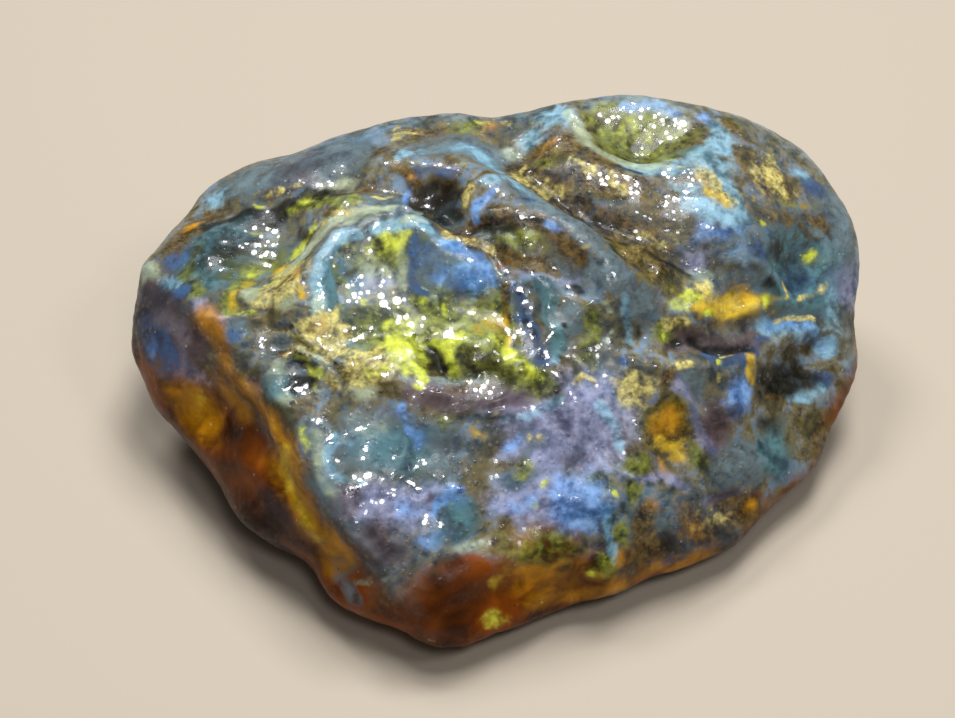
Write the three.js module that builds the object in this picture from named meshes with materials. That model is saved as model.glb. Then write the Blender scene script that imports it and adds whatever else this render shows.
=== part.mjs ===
// Rough amber: one natural lump of fossil resin, resting on a flat facet of its own.
// Millimetres, +Z up. +X runs along the lump, and its low pointed end faces -Y.
//
// The form has three layers, each a function of a point in space:
//   1. the block: the convex hull of named corners, with its edges rounded off;
//   2. the relief: bowls, lumps, ridges and gullies that follow the block's surface;
//   3. the rest facet: everything below z = 0 is cut away flat.
// One ray per vertex then runs out from the heart of the lump to the surface.

import * as THREE from "three";
import { ConvexHull } from "three/addons/math/ConvexHull.js";
import { ImprovedNoise } from "three/addons/math/ImprovedNoise.js";
import { mergeVertices } from "three/addons/utils/BufferGeometryUtils.js";

// ---------------------------------------------------------------- driving dimensions

const GROWTH = 0.35; // the block is pushed out by this, to make up for its rounded edges
const EDGE_ROUNDING = 0.55; // how softly the block's faces run into each other
const SAME_FACE_ANGLE = THREE.MathUtils.degToRad(9);
const SAME_FACE_OFFSET = 0.6;
const KEEL_DEPTH = 1.5; // how far the block goes on under the rest facet before it is cut

const BOWL_FLOOR = 0.2; // where a bowl's wall starts to rise, as a share of its radius
const LIP_WIDTH = 0.16; // width of a bowl's raised lip, as a share of its radius
const LUMP_FOOT = 1.2; // where a lump has died away, as a share of its radius
const RAGGED_LENGTH = 3.2; // length of the waves in the features' outlines
const RAGGED_BOWLS = 0.28; // how far a bowl's or a lump's outline wanders, as a share
const RAGGED_FURROWS = 0.56; // how far a ridge's or a gully's sides wander, as a share
const WAVES = [
  { length: 8.5, height: 0.55 }, // slow swells
  { length: 3.4, height: 0.3 }, // knuckles
];

const HEART = new THREE.Vector3(1, 0, 9.5); // the point that every ray starts from
const RAY_STRETCH = new THREE.Vector3(28, 21, 17); // evens out the triangles on the flat lump
const DETAIL = 21; // icosphere subdivision: 20 * (DETAIL + 1)^2 triangles
const LONGEST_RAY = 60;
const BISECTIONS = 30; // halvings of a ray, which leave it exact to a few billionths
const SLOPE_STEP = 0.01; // step for measuring which way the block's surface faces
const NOISE = new ImprovedNoise();

// Corners of the block: [x, y, z].
const CORNERS = {
  // the blunt left end
  leftMiddle: [-27.5, 1.9, 9.5],
  leftShoulder: [-25.2, 5.6, 13.6],
  leftLow: [-25.2, -0.8, 5],
  leftBack: [-22.4, 12, 12],

  // the broken flank that runs from the left end down to the point
  flankTopBehind: [-21, 0.9, 15.6],
  flankTopMiddle: [-15.9, -6.9, 15.6],
  flankTopFront: [-12.4, -12.5, 13.6],
  flankTopPoint: [-9.3, -18.2, 10.4],
  flankLowBehind: [-18.4, -10.8, 4],
  flankLowMiddle: [-13.2, -14.6, 3],
  flankLowPoint: [-8, -20.6, 2.6],

  // the pointed front end and its overhanging lip
  point: [-2.9, -23.2, 3],
  pointTop: [-4.5, -21.4, 7],
  lipLeft: [5, -19.2, 2.2],
  lipMiddle: [12.7, -16.3, 2.2],
  lipRight: [19.3, -12.9, 2.2],

  // the right end
  rightLow: [26, -5.4, 3.3],
  rightLowBack: [29.1, 0.2, 5],
  rightMiddle: [29.4, 6.8, 9],
  rightTop: [29.6, 9.6, 12.2],
  rightBackLow: [26.4, 13.6, 7],

  // the crest along the back
  crestRight: [25.6, 15.9, 16],
  crestRightMiddle: [18.4, 17, 19.4],
  crestMiddle: [9.3, 16.4, 20.9],
  crestLeftMiddle: [-0.6, 15.6, 19.2],
  crestLeft: [-9.7, 16.4, 17.4],
  crestLeftEnd: [-20.6, 13.8, 14],

  // the upper face, which falls away towards the point
  topLeft: [-12, 3.5, 19.2],
  topMiddle: [-0.5, 0.2, 20.6],
  topRight: [16, 4, 19.6],
  browLeft: [4.5, -14.9, 9.4],
  browRight: [11.8, -15.6, 7],

  // the hidden back, which leans under the crest
  backRight: [19, 18.4, 9],
  backMiddle: [5, 19.6, 10],
  backLeft: [-10, 18.8, 8.6],
  backLeftEnd: [-20.6, 12.8, 6],
};

// Outline of the facet that the lump rests on: [x, y].
const REST_OUTLINE = [
  [-12.5, 1],
  [-8, -7.5],
  [-0.5, -11.5],
  [8, -10.5],
  [14.5, -6],
  [17.5, 0.5],
  [15, 7],
  [6, 10],
  [-6, 9.5],
  [-12, 6],
];

// Round hollows where the crust has flaked away. radii: along and across the turned axis.
const BOWLS = [
  // on the upper face
  { name: "left bowl", at: [-15.2, 3.8, 17.6], radii: [5.4, 4.9], turn: 10, depth: 1.7, lip: 0.25 },
  { name: "great bowl", at: [-3.4, -2.4, 18.6], radii: [9.4, 7], turn: -14, depth: 1.3, lip: 0.5 },
  { name: "dark pit", at: [-2.8, 5.1, 20.5], radii: [2.6, 2.2], turn: 0, depth: 2, lip: 0.2 },
  { name: "crest bowl", at: [12.4, 12.6, 21], radii: [4.8, 3.2], turn: -6, depth: 1.4, lip: 0.35 },
  { name: "right bowl", at: [23.6, 5.2, 14], radii: [3.4, 3.2], turn: 0, depth: 1.3, lip: 0.2 },
  { name: "yellow hollow", at: [19.4, 1.4, 14.5], radii: [4, 1.9], turn: 8, depth: 0.9, lip: 0 },
  { name: "side hole", at: [24, 0.3, 9.4], radii: [3.4, 1.4], turn: 10, depth: 1.6, lip: 0.25 },
  { name: "olive hollow", at: [13.9, -8.8, 10.8], radii: [2.5, 3.1], turn: 0, depth: 0.8, lip: 0.1 },
  { name: "glinting dip", at: [-5.6, -12.8, 12.8], radii: [5.8, 3.4], turn: -8, depth: 0.45, lip: 0.1 },
  { name: "brow dip", at: [7.6, -11, 11.4], radii: [4.2, 3.4], turn: 20, depth: 0.5, lip: 0 },
  { name: "corner dip", at: [16.6, -12.2, 5.8], radii: [3, 2.2], turn: 30, depth: 0.7, lip: 0.2 },

  // on the front, the flank and the right end
  { name: "window", at: [3.2, -19, 5.4], radii: [7.8, 3.3], turn: 18, depth: 1.1, lip: 0.2 },
  { name: "flank scoop", at: [-18.8, -6.6, 10.4], radii: [5.6, 3.8], turn: 0, depth: 1.1, lip: 0.2 },
  { name: "flank dish", at: [-9.2, -17.8, 7.6], radii: [4.4, 3.4], turn: 0, depth: 0.9, lip: 0.1 },
  { name: "end dish", at: [-25.4, 6, 9], radii: [4, 3.6], turn: 0, depth: 0.6, lip: 0.1 },
  { name: "right dish", at: [28.4, 8, 6], radii: [4, 2.4], turn: 0, depth: 0.4, lip: 0.2 },

  // on the back
  { name: "back scoop", at: [10, 19, 11], radii: [7.2, 4.4], turn: 8, depth: 1.5, lip: 0.3 },
  { name: "back dish", at: [-9, 18, 10], radii: [5.2, 3.8], turn: -10, depth: 1.1, lip: 0.3 },
  { name: "back chip", at: [22, 16.5, 13], radii: [3.6, 2.8], turn: 0, depth: 0.9, lip: 0.2 },
  { name: "back corner", at: [-18, 13.4, 10], radii: [3.4, 3], turn: 0, depth: 0.8, lip: 0.2 },
];

// Round swellings.
const LUMPS = [
  { name: "great bowl's swell", at: [0.6, -5.6, 17], radii: [4.6, 2.8], turn: -20, height: 0.9 },
  { name: "gully lens", at: [2.9, 1.7, 20.3], radii: [2.3, 1.5], turn: -10, height: 1.2 },
  { name: "left knob", at: [-25, 5.2, 13.4], radii: [1.8, 2.2], turn: 0, height: 0.4 },
  { name: "ledge", at: [-14.5, 11.4, 17], radii: [6.5, 3], turn: 4, height: 0.7 },
  { name: "pale lens", at: [-9.2, 6.9, 19.2], radii: [2.4, 1.5], turn: 0, height: 0.7 },
  { name: "crest shoulder", at: [20, 12.4, 19], radii: [4.6, 3.6], turn: 0, height: 0.4 },
  { name: "crest head", at: [10.4, 14.4, 21], radii: [7.5, 4.4], turn: 0, height: 0.3 },
  { name: "yellow knuckle", at: [20.2, 1.2, 14], radii: [1.7, 1.3], turn: 0, height: 0.8 },
  { name: "corner lump", at: [19.4, -8, 7], radii: [3, 2.4], turn: 20, height: 0.8 },
  { name: "brow lump", at: [8.6, -13.6, 9.4], radii: [2.6, 2], turn: 0, height: 0.6 },
  { name: "mauve lump", at: [18.6, -5.2, 9.8], radii: [2, 1.6], turn: 0, height: 0.6 },
  { name: "flank belly", at: [-16.4, -11.6, 5.4], radii: [3.4, 2.6], turn: 0, height: 0.6 },
  { name: "point belly", at: [-9.6, -19, 4.4], radii: [3, 2.2], turn: 0, height: 0.3 },
  { name: "chin", at: [0.4, -22.2, 3.2], radii: [4.8, 2.2], turn: 0, height: 0.8 },
  { name: "back belly", at: [0, 19.4, 7], radii: [6, 3.4], turn: 0, height: 0.9 },
  { name: "back knuckle", at: [16, 18.6, 6], radii: [3.4, 2.6], turn: 0, height: 0.8 },
];

// Long crests, each along a path over the surface.
const RIDGES = [
  {
    name: "blue ridge",
    path: [[-7.4, 10.6, 19.6], [-1.6, 10.2, 20.8], [2.8, 6, 21], [6.8, 2.8, 20.2], [9.8, -0.4, 18.6]],
    width: 1.7,
    height: 1.3,
  },
  {
    name: "flank edge",
    path: [[-22.4, 1.4, 14.6], [-16.2, -5.9, 15.8], [-12.5, -12, 13.8], [-9.2, -18, 10.4], [-5, -21.2, 6.6]],
    width: 1,
    height: 0.6,
  },
  {
    name: "groove lip",
    path: [[12, -5.2, 14.6], [15.6, -4.6, 13.6], [19, -3, 12.4], [21.8, -1, 11]],
    width: 1.3,
    height: 0.5,
  },
  { name: "crest rib", path: [[17.2, 10.6, 20], [18.6, 6.6, 18.2], [20.4, 3.8, 16]], width: 1.3, height: 0.6 },
  { name: "brow rib", path: [[5.6, -6.6, 15], [9, -10.6, 11.8], [9.8, -14.6, 8.6]], width: 1.2, height: 0.5 },
  { name: "back rib", path: [[-6, 17.6, 14], [-2, 19.4, 10], [-1, 18, 4]], width: 1.5, height: 0.8 },
  { name: "end rib", path: [[25.6, 12.4, 15], [29, 9.6, 10.4], [27, 8, 4]], width: 1.3, height: 0.5 },
];

// Long furrows between the ridges.
const GULLIES = [
  {
    name: "first gully",
    path: [[-8, 9, 19.4], [-5.4, 8, 20], [-0.7, 2.7, 20.6], [3.2, 0.9, 20.1], [7.4, -0.4, 19]],
    width: 1.1,
    depth: 1.2,
  },
  {
    name: "second gully",
    path: [[1.9, 10.8, 21], [6.2, 6.6, 20.8], [11.6, 2.8, 19.4], [16.2, 2.2, 17.8]],
    width: 1.5,
    depth: 1.7,
  },
  {
    name: "groove",
    path: [[11.8, -3.4, 15.6], [15.4, -3, 14.6], [19, -1.2, 13.4], [22.4, 1.2, 11.8]],
    width: 1,
    depth: 1,
  },
  { name: "crest notch", path: [[2.8, 12, 20.8], [2, 17, 19.4], [1, 19.4, 13]], width: 2.2, depth: 0.8 },
  { name: "flank crease", path: [[-19.6, -3, 13.4], [-15, -9.8, 11], [-10.4, -16, 9.2]], width: 0.9, depth: 0.6 },
  { name: "flank notch", path: [[-12.4, -15.4, 2.8], [-11.4, -15.6, 7]], width: 1.3, depth: 0.4 },
  { name: "point notch", path: [[-5.9, -21.6, 2.6], [-6.2, -20.2, 6]], width: 1.1, depth: 0.3 },
  { name: "lip notch", path: [[7.4, -18.8, 2.2], [6.6, -18.6, 4.4]], width: 1.6, depth: 0.6 },
  { name: "ledge crease", path: [[-21.5, 9.6, 15], [-15, 9.2, 17.4], [-10.6, 9.6, 18.6]], width: 1, depth: 0.8 },
  { name: "back crease", path: [[16.5, 17.6, 16], [16, 19, 10], [13, 17.6, 3]], width: 1.3, depth: 0.9 },
];

// ---------------------------------------------------------------- 1. the block

// The block's faces. Hull triangles that lie nearly in one plane count as one face, the largest.
function makeBlockFaces() {
  const corners = Object.values(CORNERS).map((corner) => new THREE.Vector3(...corner));
  const keel = REST_OUTLINE.map(([x, y]) => new THREE.Vector3(x, y, -KEEL_DEPTH));
  const hull = new ConvexHull().setFromPoints([...corners, ...keel]);
  const faces = [];
  for (const face of hull.faces.sort((a, b) => b.area - a.area)) {
    const isKnown = faces.some(
      (known) =>
        known.normal.angleTo(face.normal) < SAME_FACE_ANGLE &&
        Math.abs(known.normal.dot(face.midpoint) - known.distance) < SAME_FACE_OFFSET,
    );
    if (!isKnown) faces.push({ normal: face.normal, distance: face.constant + GROWTH });
  }
  return faces;
}

const BLOCK_FACES = makeBlockFaces();

// Distance to the block's surface, below zero inside: a smooth maximum over its faces.
function blockDistance(point) {
  const distances = BLOCK_FACES.map((face) => face.normal.dot(point) - face.distance);
  const furthest = Math.max(...distances);
  const sum = distances.reduce(
    (total, distance) => total + Math.exp((distance - furthest) / EDGE_ROUNDING),
    0,
  );
  return furthest + EDGE_ROUNDING * Math.log(sum);
}

// The way the block's surface faces at a point.
function blockNormal(point) {
  const here = blockDistance(point);
  const slopeAlong = (axis) => {
    const nearby = point.clone();
    nearby[axis] += SLOPE_STEP;
    return blockDistance(nearby) - here;
  };
  return new THREE.Vector3(slopeAlong("x"), slopeAlong("y"), slopeAlong("z")).normalize();
}

// Where a ray from the heart leaves a form, given as a distance function.
function castRay(direction, distanceAt) {
  let inside = 0;
  let outside = LONGEST_RAY;
  const point = new THREE.Vector3();
  for (let step = 0; step < BISECTIONS; step += 1) {
    const middle = (inside + outside) / 2;
    point.copy(HEART).addScaledVector(direction, middle);
    if (distanceAt(point) < 0) inside = middle;
    else outside = middle;
  }
  return point;
}

// The point of the block's surface that lies on the ray from the heart through a given place.
function onBlock(place) {
  const direction = new THREE.Vector3(...place).sub(HEART).normalize();
  return castRay(direction, blockDistance);
}

// ---------------------------------------------------------------- 2. the relief

// A flat ellipse laid on the block: its centre, its two axes in the surface, and their radii.
function layEllipse({ at, radii, turn }) {
  const centre = onBlock(at);
  const normal = blockNormal(centre);
  const along = new THREE.Vector3(1, 0, 0).projectOnPlane(normal).normalize();
  along.applyAxisAngle(normal, THREE.MathUtils.degToRad(turn));
  const across = new THREE.Vector3().crossVectors(normal, along);
  return { centre, normal, along, across, radii, reach: Math.max(...radii) };
}

// How far a point is from an ellipse's centre: 1 on its ragged rim.
function ellipseDistance(point, ellipse) {
  const offset = point.clone().sub(ellipse.centre);
  const distance = Math.hypot(
    offset.dot(ellipse.along) / ellipse.radii[0],
    offset.dot(ellipse.across) / ellipse.radii[1],
    offset.dot(ellipse.normal) / ellipse.reach,
  );
  return distance * (1 + RAGGED_BOWLS * noiseAt(point, RAGGED_LENGTH));
}

// How far a point is from a path over the block, with the path's sides ragged too.
function pathDistance(point, lines) {
  const nearest = new THREE.Vector3();
  const distances = lines.map((line) => {
    line.closestPointToPoint(point, true, nearest);
    return nearest.distanceTo(point);
  });
  return Math.min(...distances) * (1 + RAGGED_FURROWS * noiseAt(point, RAGGED_LENGTH));
}

function layPath(path) {
  const points = path.map(onBlock);
  return points.slice(1).map((end, i) => new THREE.Line3(points[i], end));
}

function bell(x) {
  return Math.exp(-x * x);
}

// Smooth noise, between -1 and 1, whose swells are about one length across.
function noiseAt({ x, y, z }, length) {
  return NOISE.noise(x / length, y / length, z / length);
}

// Each maker returns a function that gives the height of its feature at a point.
function makeBowl(bowl) {
  const ellipse = layEllipse(bowl);
  return (point) => {
    const distance = ellipseDistance(point, ellipse);
    const share = 1 - THREE.MathUtils.smoothstep(distance, BOWL_FLOOR, 1);
    return bowl.lip * bell((distance - 1) / LIP_WIDTH) - bowl.depth * share;
  };
}

function makeLump(lump) {
  const ellipse = layEllipse(lump);
  return (point) => {
    const distance = ellipseDistance(point, ellipse);
    return lump.height * (1 - THREE.MathUtils.smoothstep(distance, 0, LUMP_FOOT));
  };
}

function makeFurrow(path, width, height) {
  const lines = layPath(path);
  return (point) => height * bell(pathDistance(point, lines) / width);
}

function makeWave({ length, height }) {
  return (point) => height * noiseAt(point, length);
}

const RELIEF = [
  ...BOWLS.map(makeBowl),
  ...LUMPS.map(makeLump),
  ...RIDGES.map(({ path, width, height }) => makeFurrow(path, width, height)),
  ...GULLIES.map(({ path, width, depth }) => makeFurrow(path, width, -depth)),
  ...WAVES.map(makeWave),
];

function reliefHeight(point) {
  return RELIEF.reduce((total, heightAt) => total + heightAt(point), 0);
}

// ---------------------------------------------------------------- 3. the whole lump

function amberDistance(point) {
  return Math.max(blockDistance(point) - reliefHeight(point), -point.z);
}

// The lump's surface, with its origin in the middle of its footprint, on the rest facet.
function makeAmberGeometry() {
  const sphere = new THREE.IcosahedronGeometry(1, DETAIL);
  sphere.deleteAttribute("normal");
  sphere.deleteAttribute("uv");
  const geometry = mergeVertices(sphere);
  const { position } = geometry.attributes;
  const direction = new THREE.Vector3();
  for (let i = 0; i < position.count; i += 1) {
    direction.fromBufferAttribute(position, i).multiply(RAY_STRETCH).normalize();
    const point = castRay(direction, amberDistance);
    position.setXYZ(i, point.x, point.y, Math.max(point.z, 0));
  }
  geometry.computeBoundingBox();
  const middle = geometry.boundingBox.getCenter(new THREE.Vector3());
  geometry.translate(-middle.x, -middle.y, 0);
  geometry.computeVertexNormals();
  return geometry;
}

const amber = new THREE.Mesh(
  makeAmberGeometry(),
  new THREE.MeshStandardMaterial({ color: 0x5d6f78, roughness: 0.25, metalness: 0 }),
);
amber.name = "amber";

const group = new THREE.Group();
group.add(amber);

export default group;
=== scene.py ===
"""Rough blue amber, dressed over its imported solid.

The lump is one natural piece: clear golden-brown resin under a thin, broken, weathered film.
The solid gives the form. Here its surface is made finer, gets its small knuckles and dimples,
and is told, in named layers, where the film is blue, milky, rusty or gone.
"""

from __future__ import annotations

import logging
import math
from dataclasses import dataclass
from enum import Enum
from typing import Any, ClassVar, Iterable, Sequence

import bmesh
import bpy
import numpy as np
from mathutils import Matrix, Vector, noise


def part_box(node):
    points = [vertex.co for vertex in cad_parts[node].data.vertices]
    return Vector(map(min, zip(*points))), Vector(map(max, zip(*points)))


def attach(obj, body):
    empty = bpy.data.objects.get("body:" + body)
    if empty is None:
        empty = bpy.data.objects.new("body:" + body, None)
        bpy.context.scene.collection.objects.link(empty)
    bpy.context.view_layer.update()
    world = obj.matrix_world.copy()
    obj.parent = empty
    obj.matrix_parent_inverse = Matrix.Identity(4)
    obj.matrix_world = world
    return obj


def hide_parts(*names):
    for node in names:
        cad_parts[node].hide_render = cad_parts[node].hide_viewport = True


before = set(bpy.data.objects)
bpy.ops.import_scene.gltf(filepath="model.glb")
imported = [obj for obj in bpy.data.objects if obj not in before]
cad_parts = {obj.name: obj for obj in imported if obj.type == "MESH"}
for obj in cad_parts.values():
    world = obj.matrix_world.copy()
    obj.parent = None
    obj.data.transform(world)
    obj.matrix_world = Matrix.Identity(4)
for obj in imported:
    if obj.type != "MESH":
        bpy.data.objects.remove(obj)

log = logging.getLogger("amber")

MM = 0.001
NODE = "amber"
BODY = "root"

Place = tuple[float, ...]
Colour = tuple[float, float, float, float]


# ------------------------------------------------------------------------------ helpers


def srgb(code: str) -> Colour:
    """Turns a colour written as on the web into the linear colour that shaders use.

    Args:
        code: Six hexadecimal digits after a hash.

    Returns:
        Red, green, blue and an alpha of 1, all linear.
    """
    shares = [int(code[i : i + 2], 16) / 255 for i in (1, 3, 5)]
    linear = [s / 12.92 if s <= 0.04045 else ((s + 0.055) / 1.055) ** 2.4 for s in shares]
    return (linear[0], linear[1], linear[2], 1.0)


@dataclass(frozen=True)
class Box:
    """A box in metres, in which places are given as shares of its sides."""

    low: Vector
    high: Vector

    @property
    def size(self) -> Vector:
        """The box's three sides."""
        return self.high - self.low

    def at(self, place: Sequence[float]) -> Vector:
        """Finds a place in the box.

        Args:
            place: Shares of the box from its left, front and bottom: 0 to 1 each.

        Returns:
            The point, in metres.
        """
        return Vector(self.low[i] + place[i] * self.size[i] for i in range(3))


class Bench:
    """Builds one node tree, for a material or for a mesh.

    Attributes:
        SEED_STEPS: How far noise moves along each axis from one seed to the next, in millimetres.
    """

    SEED_STEPS: ClassVar[Place] = (13.7, 7.1, 3.3)

    def __init__(self, tree: bpy.types.NodeTree) -> None:
        """Starts work on a tree.

        Args:
            tree: The tree that the nodes go into.
        """
        self.tree = tree

    def node(
        self,
        kind: str,
        settings: dict[str, Any] | None = None,
        inputs: dict[str | int, Any] | None = None,
        output: str | int = 0,
    ) -> "Port":
        """Adds any node.

        Args:
            kind: The node's type.
            settings: Its properties, set before its sockets.
            inputs: A value or a Port for each input, by name or number.
            output: The output that is wanted, by name or number.

        Returns:
            That output.
        """
        made = self.tree.nodes.new(kind)
        for name, value in (settings or {}).items():
            setattr(made, name, value)
        for name, value in (inputs or {}).items():
            if isinstance(value, Port):
                self.tree.links.new(value.socket, made.inputs[name])
            else:
                made.inputs[name].default_value = value
        return Port(self, made.outputs[output])

    def finish(self, kind: str, inputs: dict[str, "Port"]) -> None:
        """Adds the tree's last node.

        Args:
            kind: The node's type.
            inputs: What goes into it, by name.
        """
        made = self.tree.nodes.new(kind)
        for name, port in inputs.items():
            self.tree.links.new(port.socket, made.inputs[name])

    def blend(self, factor: "Port | float", first: Any, second: Any) -> "Port":
        """Mixes two colours.

        Args:
            factor: 0 for the first, 1 for the second.
            first: A colour or a Port.
            second: A colour or a Port.

        Returns:
            The mixed colour.
        """
        settings = {"data_type": "RGBA", "clamp_factor": True}
        return self.node("ShaderNodeMix", settings, {0: factor, 6: first, 7: second}, 2)

    def scaled(self, vector: "Port", factor: "Port | float") -> "Port":
        """Multiplies a vector or a colour by a number."""
        return self.node(
            "ShaderNodeVectorMath", {"operation": "SCALE"}, {0: vector, "Scale": factor}
        )

    def vector(self, operation: str, first: Any, second: Any) -> "Port":
        """Adds one Vector Math node.

        Args:
            operation: What it does.
            first: A vector or a Port.
            second: A vector or a Port.

        Returns:
            The result.
        """
        return self.node("ShaderNodeVectorMath", {"operation": operation}, {0: first, 1: second})

    def kept(self, name: str) -> "Port":
        """Reads a number that is kept on the mesh."""
        return self.node("ShaderNodeAttribute", {"attribute_name": name}, output="Fac")

    def noise(
        self, vector: "Port", length: float, seed: float, detail: float = 2.0, swirl: float = 0.0
    ) -> "Port":
        """Makes cloudy noise.

        Args:
            vector: Where it is read, in metres.
            length: How long its swells are, in metres.
            seed: Which noise it is.
            detail: How many finer layers it has.
            swirl: How much it is stirred.

        Returns:
            A number about 0.5, seldom under 0.25 or over 0.75.
        """
        shift = tuple(seed * step * MM for step in self.SEED_STEPS)
        inputs = {
            "Vector": self.vector("ADD", vector, shift),
            "Scale": 1 / length,
            "Detail": detail,
            "Distortion": swirl,
        }
        return self.node("ShaderNodeTexNoise", {"normalize": True}, inputs)


class Port:
    """A node's output, on which Python's operators add Math nodes."""

    def __init__(self, bench: Bench, socket: bpy.types.NodeSocket) -> None:
        """Wraps a socket.

        Args:
            bench: The bench whose tree it is in.
            socket: The output socket.
        """
        self.bench = bench
        self.socket = socket

    def _math(self, operation: str, first: Any, second: Any) -> "Port":
        """Adds one Math node."""
        return self.bench.node(
            "ShaderNodeMath", {"operation": operation}, {0: first, 1: second}
        )

    def __add__(self, other: Any) -> "Port":
        """Self plus other."""
        return self._math("ADD", self, other)

    def __sub__(self, other: Any) -> "Port":
        """Self minus other."""
        return self._math("SUBTRACT", self, other)

    def __rsub__(self, other: Any) -> "Port":
        """Other minus self."""
        return self._math("SUBTRACT", other, self)

    def __mul__(self, other: Any) -> "Port":
        """Self times other."""
        return self._math("MULTIPLY", self, other)

    def __rmul__(self, other: Any) -> "Port":
        """Other times self."""
        return self._math("MULTIPLY", other, self)

    def __truediv__(self, other: Any) -> "Port":
        """Self over other."""
        return self._math("DIVIDE", self, other)

    def __rtruediv__(self, other: Any) -> "Port":
        """Other over self."""
        return self._math("DIVIDE", other, self)

    def maximum(self, other: Any) -> "Port":
        """The larger of self and other."""
        return self._math("MAXIMUM", self, other)

    def sibling(self, output: str) -> "Port":
        """Another output of the same node."""
        return Port(self.bench, self.socket.node.outputs[output])

    def between(self, first: Any, second: Any) -> "Port":
        """Self as a share of the way from the first number to the second."""
        return (second - first) * self + first

    def rise(self, low: float, high: float) -> "Port":
        """Rises smoothly from 0 at low to 1 at high."""
        inputs = {"Value": self, "From Min": low, "From Max": high}
        return self.bench.node(
            "ShaderNodeMapRange", {"interpolation_type": "SMOOTHSTEP"}, inputs
        )


# ------------------------------------------------------------------- what lies on the lump


class Layer(Enum):
    """What a mark lays on the lump. The value is the name under which the mesh keeps it."""

    SLATE = "slate"
    LAVENDER = "lavender"
    PLUM = "plum"
    TEAL = "teal"
    OLIVE = "olive"
    BROWN = "brown"
    NAVY = "navy"
    SKY = "sky"
    AZURE = "azure"
    PALE = "pale"
    SAND = "sand"
    AMBER = "bare"
    RUSSET = "russet"
    HONEY = "honey"
    GOLD = "gold"
    LIME = "lime"
    # Painted shade: near-black film laid where the surface sinks, in the pit, the black hole, the
    # gullies, the cracks and the bowls.
    PAINTED_SHADE = "painted_shade"
    WET = "wet"


@dataclass(frozen=True)
class Patch:
    """An oval mark: where it is, its two radii in millimetres, its strength and its turn."""

    at: Place
    radii: tuple[float, float]
    strength: float = 1.0
    turn: float = 0.0


@dataclass(frozen=True)
class Streak:
    """A long mark that follows a path: its places, half its width in millimetres, its strength."""

    path: tuple[Place, ...]
    width: float
    strength: float = 1.0


Mark = Patch | Streak


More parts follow.
